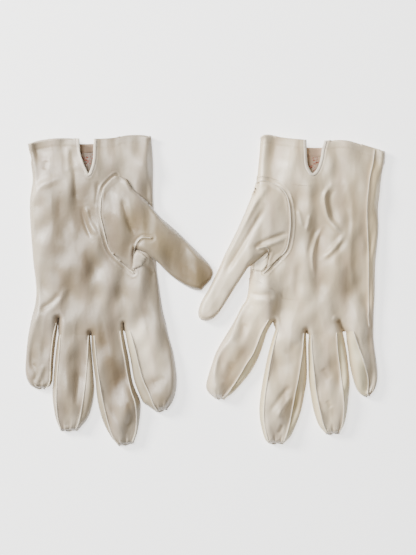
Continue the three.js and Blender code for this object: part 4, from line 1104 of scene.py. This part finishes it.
    # ------------- thumb: one cloth from the oval seam to the tip, front and back
    T = G.fing["thumb"]
    h0, h1 = G.t_hinge
    lat = (h1 - h0) / np.linalg.norm(h1 - h0)
    hm = (h0 + h1) / 2
    tip = (T["L"][-1] + T["R"][-1]) / 2
    ax = np.array([-lat[1], lat[0]])
    if (tip - hm) @ ax < 0:
        ax = -ax
    rel = G.thumb_poly - hm
    a0, a1 = (rel @ ax).min() - 1.5, (rel @ ax).max() + 1.5
    b0, b1 = (rel @ lat).min() - 1.5, (rel @ lat).max() + 1.5
    cell = 0.78
    na, nb = int((a1 - a0) / cell) + 1, int((b1 - b0) / cell) + 1
    aa, bb = np.linspace(a0, a1, na), np.linspace(b0, b1, nb)
    gp = (hm + aa[:, None, None] * ax + bb[None, :, None] * lat).reshape(-1, 2)
    gp, keep, _ = fit_grid(gp, grid_faces(na, nb), G.thumb_poly, cell)
    sd = signed(gp, G.thumb_poly)
    zt, e = G.thumb_z(gp)
    vt = np.column_stack([gp, zt])
    ft = orient(vt, grid_faces(na, nb))
    ct = gp[ft].mean(1)
    # painted shade along the outline and in the hollows, painted highlight on the ridges
    tt = ridge_highlight_hollow_shade(G.tint(gp, distance(gp, G.thumb_free)), vt, na, nb)
    jn = joints[side + "_thumb_curl"]
    start = (*(hm / 1000), 0.006)
    end = (*((hm + ax * 13) / 1000), 0.006)
    twhere = (hand, side + "_thumb", start, end)
    tf_o = piece(C("thumb_front"), vt, ft[keep], "satin_palm", twhere, nodes=[N("thumb_gusset"), N("thumb_palm_side")], tint=tt)
    # underside of the thumb
    free = np.where(sd > 0, distance(gp, G.thumb_free), 0)
    zu = e - np.minimum(e - FLOOR_Z, 2.1 + 0 * e) * g_round(free / 2.6)
    hsd = signed(gp, G.hand_poly)
    zu = np.where(hsd > 2, np.maximum(zu, G.palm_z(gp, relief=False) + 0.1), zu)
    zu = np.minimum(zu, zt - 0.0)
    vu = np.column_stack([gp, zu])
    fu = orient(vu, grid_faces(na, nb), up=False)
    keep_u = keep & ((signed(ct, G.hand_poly) < 1.5) | ((ct - hm) @ ax > 0.5))
    tb_o = piece(C("thumb_back"), vu, fu[keep_u], "satin_back", twhere, nodes=[N("thumb_back_side")], tint=G.tint(gp) * 0.95)

    # the underside is the stall and the part of the gusset that shows beyond the hand
    step = 0.4
    bx, by = np.meshgrid(np.arange(a0, a1, step), np.arange(b0, b1, step))
    ras = hm + bx.ravel()[:, None] * ax + by.ravel()[:, None] * lat
    reg = inside(ras, G.thumb_poly) & ((signed(ras, G.hand_poly) < 1.5) | ((ras - hm) @ ax > 0.5))

    # ------------- quirk: small patch at the crotch of the thumb
    Q = A(QUIRK[side])
    c0, c1 = Q.min(0) - 1, Q.max(0) + 1
    nx_, ny_ = int((c1[0] - c0[0]) / 0.5) + 1, int((c1[1] - c0[1]) / 0.5) + 1
    X, Y = np.meshgrid(np.linspace(c0[0], c1[0], nx_), np.linspace(c0[1], c1[1], ny_))
    qp = np.stack([X.ravel(), Y.ravel()], 1)
    qp, keep, _ = fit_grid(qp, grid_faces(ny_, nx_), Q, 0.5)
    qd = np.maximum(0, signed(qp, Q))
    zq = np.maximum(G.palm_z(qp), EDGE_Z + 2.0) + 0.15 + 1.3 * g_round(qd / 2.6)
    vq = np.column_stack([qp, zq])
    fq = orient(vq, grid_faces(ny_, nx_))
    cq = qp[fq].mean(1)
    q_o = piece(C("thumb_quirk"), vq, fq[keep], "satin_trim", hand, nodes=[N("thumb_quirk")], tint=G.tint(qp))

    # ------------- oval seam: a fine welt with its stitches
    ov = G.oval
    zo = np.maximum(G.palm_z(ov), 0) + 0.35
    welt = tube(np.column_stack([ov, zo + 0.05]), 0.48, 7)
    loop = dense(A(LOOP[side]), 70)
    lz = G.thumb_z(loop)[0]
    loop_w = tube(np.column_stack([loop, lz + 0.10]), 0.33, 6)
    loose(C("thumb_loop_seam"), [loop_w], "satin_trim", twhere, tint=(0.98, 0.96, 0.92))
    loose(C("thumb_seam"), [welt], "satin_trim", hand, tint=(0.97, 0.96, 0.94))
    st = []
    dd = np.gradient(ov, axis=0)
    dd /= np.linalg.norm(dd, axis=1)[:, None]
    no = np.stack([-dd[:, 1], dd[:, 0]], 1)
    if signed(ov + no, G.zone).mean() > 0:
        no = -no
    L_ = length(ov)
    for k in np.arange(1.0, L_ - 2, 2.1):
        q = at(ov, [k / L_, (k + 1.3) / L_]) + at(no, [k / L_, (k + 1.3) / L_]) * 3.1
        st.append(tube(np.column_stack([q, G.palm_z(q) + 0.10]), 0.11, 5))
    loose(C("thumb_seam_stitches"), st, "thread", hand)

    # ------------- fingers
    for fn in G.order:
        F = G.fing[fn]
        flen = (length(F["L"]) + length(F["R"])) / 2
        ns = int(flen / 0.85) + 1
        k = np.linspace(0, 1, ns)
        s = 0.8 * k + 0.2 * np.sin(k * np.pi / 2)
        PF = finger_plan(fn, s)
        nr_, nc_ = PF.shape[:2]
        pf = PF.reshape(-1, 2)
        us, marks, stops = cols[fn]
        # distance to this finger's own outline and the hand's
        zf = G.palm_z(pf)
        rr = np.repeat(np.arange(nr_), nc_)
        cc = np.tile(np.arange(nc_), nr_)
        tipd = distance(pf, np.vstack([F["L"][-1], F["R"][-1]]))
        # gathers run in from the squared tip
        tu = np.tile(us, nr_)
        wv = np.sin(tu * 2 * np.pi * 3.2 + (7 if side == "left" else 3)) * 0.45 + np.sin(tu * 2 * np.pi * 6.3 + 1.7) * 0.22
        edge_soft = smooth(np.minimum(tu, 1 - tu) / 0.12)
        zf = zf + wv * edge_soft * np.exp(-(tipd / 5.5) ** 2) * smooth(tipd / 0.8)
        # seams: lip on the front panel, groove beside it
        for c in F["S"].values():
            dS = distance(pf, c[::5])
            zf += smooth(np.repeat(s, nc_) * flen / 4) * edge_soft * (0.38 * np.exp(-(dS / 0.6) ** 2) - 0.09 * np.exp(-((dS - 1.5) / 0.8) ** 2)) * smooth(tipd / 2)
        bound = (cc == 0) | (cc == nc_ - 1) | (rr == nr_ - 1)
        zf = np.where(bound, EDGE_Z, np.maximum(zf, EDGE_Z + 0.02))
        vf = np.column_stack([pf, zf])
        # the root row is the hand's last row, so the cloth runs on unbroken
        i0, n0 = marks_f[fn]
        rowz = G.hand_v.reshape(nr, nc, 3)[-1, i0:i0 + n0]
        if G.flip:
            rowz = rowz[::-1]
        vf[:nc_] = rowz
        ff = orient(vf, grid_faces(nr_, nc_))
        # painted shade along the outline and in the hollows, painted highlight on the ridges
        tf = ridge_highlight_hollow_shade(G.tint(pf, distance(pf, G.outline)), vf, nr_, nc_)
        jn = joints[f"{side}_{fn}_curl"]
        hmid = (F["L"][0] + F["R"][0]) / 2
        lat = F["R"][0] - F["L"][0]
        lat /= np.linalg.norm(lat)
        ax = np.array([-lat[1], lat[0]])
        tipm = (F["L"][-1] + F["R"][-1]) / 2
        if (tipm - hmid) @ ax < 0:
            ax = -ax
        where = (hand, f"{side}_{fn}", (*(hmid / 1000), 0.006), (*((hmid + ax * 13) / 1000), 0.006))
        fc = np.tile(np.arange(nc_ - 1), nr_ - 1)
        spans = list(zip(marks, marks[1:]))
        names = []
        if F["wrap"] == "":
            inner = (side == "left")
            names = [("fourchette_" + ("outer" if inner else "inner"), True), ("palm_side", False), ("fourchette_" + ("inner" if inner else "outer"), True)]
        elif F["wrap"] == "L":
            names = [("palm_side", False), ("fourchette", True)]
        else:
            names = [("fourchette", True), ("palm_side", False)]
        # back of the finger
        zbk = G.back_z(pf)
        zbk = np.where(bound, EDGE_Z, np.minimum(zbk, EDGE_Z - 0.02))
        vk = np.column_stack([pf, zbk])
        rowb = vb.reshape(nr, nc, 3)[-1, i0:i0 + n0]
        if G.flip:
            rowb = rowb[::-1]
        vk[:nc_] = rowb
        fkk = orient(vk, grid_faces(nr_, nc_), up=False)
        tk = G.tint(pf + 40, with_stain_and_painted_light=False) * 0.97
        # both layers in one set of points, joined along the two sides
        nf, nk = normals(vf, ff), normals(vk, fkk)
        nf[:nc_] = nh[-nc:][i0:i0 + n0][::-1] if G.flip else nh[-nc:][i0:i0 + n0]
        nk[:nc_] = nhb[-nc:][i0:i0 + n0][::-1] if G.flip else nhb[-nc:][i0:i0 + n0]
        # along the two sides the layers roll into each other
        for c_ in (0, nc_ - 1):
            a = np.arange(nr_) * nc_ + c_
            mid_n = nf[a] + nk[a]
            mid_n /= np.maximum(1e-6, np.linalg.norm(mid_n, axis=1))[:, None]
            nf[a[1:]] = mid_n[1:]
            nk[a[1:]] = mid_n[1:]
        nb_ = np.vstack([nf, nk])
        both = np.vstack([vf, vk])
        weld = np.arange(2 * nr_ * nc_)
        for c_ in (0, nc_ - 1):
            side_i = np.arange(nr_) * nc_ + c_
            weld[nr_ * nc_ + side_i] = side_i
        fc = np.tile(np.arange(nc_ - 1), nr_ - 1)
        front_obj, back_span, narrow = None, [0, nc_ - 1], []
        for (m0, m1), (nm, is_side) in zip(spans, names):
            sel = (fc >= m0) & (fc < m1)
            lo_, hi_ = PF[:, m0], PF[:, m1]
            poly = np.vstack([lo_, hi_[::-1]])
            if is_side:
                if m0 == 0:
                    back_span[0] = m1
                else:
                    back_span[1] = m0
                wrapf = weld[np.vstack([ff[sel], fkk[sel] + nr_ * nc_])]
                tt = np.vstack([tf, tk]) * np.array(SIDE_TINT[side])
                o_ = piece(C(f"{fn}_{nm}"), both, wrapf, "satin_side", where, nodes=[N(f"{fn}_{nm}")], tint=tt, nor=nb_)
                w_, l_, a_ = cut_of(poly, ax)
                strip_w = 2 * float(np.linalg.norm(hi_ - lo_, axis=1).max()) + ROLL_FRONT + ROLL_BACK
                if strip_w < 10:
                    narrow.append(o_)            # a strip too narrow to be a sheet of its own is put on the list narrow
            else:
                front_obj = piece(C(f"{fn}_{nm}"), vf, ff[sel], "satin_palm", where, nodes=[N(f"{fn}_{nm}")], tint=tf, nor=nf)
        selb = (fc >= back_span[0]) & (fc < back_span[1])
        kb = piece(C(f"{fn}_back_side"), vk, fkk[selb], "satin_back", where, nodes=[N(f"{fn}_back_side")], tint=tk, nor=nk)
        # seam welts and stitches
        parts, st = [], []
        for key, c in F["S"].items():
            idx = marks[1] if key == "L" else marks[-2]
            line = vf.reshape(nr_, nc_, 3)[:, idx].copy()
            line = line[: int(len(line) * 0.985)]
            line[:, 2] += 0.16
            parts.append(tube(line, 0.42, 7))
            L2 = length(line)
            run2 = np.r_[0, np.cumsum(np.linalg.norm(np.diff(line, axis=0), axis=1))]
            for q0 in np.arange(1.2, L2 - 3, 1.9):
                tq = np.array([q0, q0 + 0.9])
                pq = np.stack([np.interp(tq, run2, line[:, i]) for i in range(3)], 1)
                dirn = pq[1] - pq[0]
                sidev = np.array([-dirn[1], dirn[0], 0])
                sidev /= max(1e-9, np.linalg.norm(sidev))
                pq[0] -= sidev * 0.30
                pq[1] += sidev * 0.30
                pq[:, 2] += 0.30
                st.append(tube(pq, 0.09, 5))
        # the welts are tinted brighter than the cloth: painted highlight along the seam ridges
        loose(C(f"{fn}_seam_welts"), parts, "satin_trim", where, tint=(1.12, 1.12, 1.10))
        loose(C(f"{fn}_seam_stitches"), st, "thread", where)
        # the squared, gathered tip: a short ruffled end of seam
        a_, b_ = F["L"][-1], F["R"][-1]
        w_ = np.linalg.norm(b_ - a_)
        nn = 34
        kk = np.linspace(0.04, 0.96, nn)
        fwd = np.array([-(b_ - a_)[1], (b_ - a_)[0]]) / w_
        if (tipm - hmid) @ fwd < 0:
            fwd = -fwd
        rows_t = []
        rs = np.random.RandomState(5 + len(fn) + (31 if side == "right" else 0))
        phase = rs.uniform(0, 6.28, 3)
        for j, dz in enumerate(np.linspace(0, 1, 5)):
            ruff = 0.55 * np.sin(kk * 2 * np.pi * 2.6 + phase[0]) + 0.35 * np.sin(kk * 2 * np.pi * 5.1 + phase[1])
            outl = (0.95 + 0.35 * np.sin(kk * 2 * np.pi * 1.6 + phase[2])) * dz
            pts = a_ + (b_ - a_) * kk[:, None] + fwd * (-0.5 + outl)[:, None]
            zz = EDGE_Z + 0.1 + dz * ruff * 0.9
            rows_t.append(np.column_stack([pts, zz]))
        vtip = np.vstack(rows_t)
        ftip = orient(vtip, grid_faces(5, nn))
        tip_o = piece(C(f"{fn}_tip_gather"), vtip, ftip, "satin_trim", where, tint=np.tile([0.99, 0.98, 0.96], (len(vtip), 1)), thick=0.5)

    # ------------- side seam of the little-finger side
    ss = dense(A(SIDE_SEAM[side]), 130)
    if side == "right":
        zz = G.palm_z(ss) + 0.12
        loose(C("side_seam"), [tube(np.column_stack([ss, zz]), 0.36, 6)], "satin_trim", hand, nodes=[N("side_seam")], tint=(0.98, 0.97, 0.95))
        st = []
        L2 = length(ss)
        for q0 in np.arange(1.5, L2 - 3, 2.0):
            q = at(ss, [q0 / L2, (q0 + 1.0) / L2])
            d_ = q[1] - q[0]
            sv = np.array([-d_[1], d_[0]]) / max(1e-9, np.linalg.norm(d_))
            q[0] -= sv * 0.32
            q[1] += sv * 0.32
            st.append(tube(np.column_stack([q, zz.mean() * 0 + G.palm_z(q) + 0.42]), 0.09, 5))
        loose(C("side_seam_stitches"), st, "thread", hand)
    else:
        e = G.edgeA[6:-4]
        zz = np.full(len(e), EDGE_Z)
        loose(C("side_seam"), [tube(np.column_stack([e, zz]), 0.34, 6)], "satin_trim", hand, nodes=[N("side_seam")], tint=(0.98, 0.97, 0.95))

    # ------------- hem stitches, palm
    st = []
    cl = G.cuff
    dd = np.gradient(cl, axis=0)
    dd /= np.linalg.norm(dd, axis=1)[:, None]
    no = np.stack([-dd[:, 1], dd[:, 0]], 1)
    no *= np.sign((A([[0, 0]])[0] - cl.mean(0))[1] * no[:, 1].mean())
    L2 = length(cl)
    for q0 in np.arange(2.0, L2 - 3, 2.3):
        q = at(cl, [q0 / L2, (q0 + 1.5) / L2]) + at(no, [q0 / L2, (q0 + 1.5) / L2]) * 6.0
        if (np.abs(signed(q, vent)) < 1.6).any() or (signed(q, vent) > 0).any() or (distance(q, G.outline) < 1.2).any():
            continue
        st.append(tube(np.column_stack([q, G.palm_z(q) + 0.08]), 0.11, 5))
    on_palm.append(loose(C("hem_stitches"), st, "thread", hand))

    # ------------- generic printed mark inside the wrist, seen through the vent
    nm = G.notch.mean(0)
    top = at(G.cuffb, [0.5])[0][1]
    mx = (G.notch[0, 0] + G.notch[-1, 0]) / 2
    strips = []
    rnd = np.random.RandomState(3 if side == "left" else 9)

    def fleck(x, y, r):
        """a small flat rounded spot"""
        k = np.arange(9) * 2 * np.pi / 9
        rr = r * (0.75 + 0.35 * rnd.rand(9))
        q = np.stack([x + rr * np.cos(k), y + 0.8 * rr * np.sin(k)], 1)
        zz = G.back_z(q).max() + CLOTH + 0.04
        lo = np.column_stack([q, np.full(9, zz)])
        hi = np.column_stack([q, np.full(9, zz + 0.05)])
        fl = [tuple(range(8, -1, -1)), tuple(range(9, 18))] + [(i, (i + 1) % 9, 9 + (i + 1) % 9, 9 + i) for i in range(9)]
        strips.append((np.vstack([lo, hi]), fl))

    for fx, fy in zip(rnd.normal(0, 2.4, 34), rnd.uniform(7.0, 17.5, 34)):
        if abs(fx) < 5.2 - 0.22 * (fy - 7):
            fleck(mx + fx, top - fy, rnd.uniform(0.28, 0.62))
    loose(C("inside_mark"), strips, "print_ink", hand, tint=(1, 1, 1))
    return G


build("left")
build("right")

# ------------------------------------------------------------------ floor and light
bpy.ops.mesh.primitive_plane_add(size=6, location=(0, 0, 0))
floor = bpy.context.object
floor.name = "floor"
fm = bpy.data.materials.new("floor")
fm.use_nodes = True
fb = fm.node_tree.nodes["Principled BSDF"]
fb.inputs["Base Color"].default_value = (0.96, 0.96, 0.96, 1)
fb.inputs["Roughness"].default_value = 0.9
fb.inputs["Specular IOR Level"].default_value = 0.0
fb.inputs["Emission Color"].default_value = (1, 1, 1, 1)
fb.inputs["Emission Strength"].default_value = 1.7
floor.data.materials.append(fm)

world = bpy.data.worlds.new("world")
world.use_nodes = True
world.node_tree.nodes["Background"].inputs[0].default_value = (1, 1, 1, 1)
world.node_tree.nodes["Background"].inputs[1].default_value = 0.07
scene.world = world


def area(name, loc, size, power, color=(1, 1, 1)):
    d = bpy.data.lights.new(name, "AREA")
    d.shape = "RECTANGLE"
    d.size, d.size_y = size
    d.energy = power
    d.color = color
    o = bpy.data.objects.new(name, d)
    o.location = loc
    o.rotation_euler = (Vector((0, 0, 0)) - Vector(loc)).to_track_quat("-Z", "Y").to_euler()
    scene.collection.objects.link(o)
    return o


area("key", (-1.15, 0.65, 0.74), (0.40, 0.40), 48, (1, 0.985, 0.95))
area("fill", (0.9, -0.4, 1.2), (1.0, 1.0), 1.6, (0.96, 0.98, 1))
area("top", (-0.45, 0.45, 1.32), (0.45, 0.45), 17, (1, 0.99, 0.97))
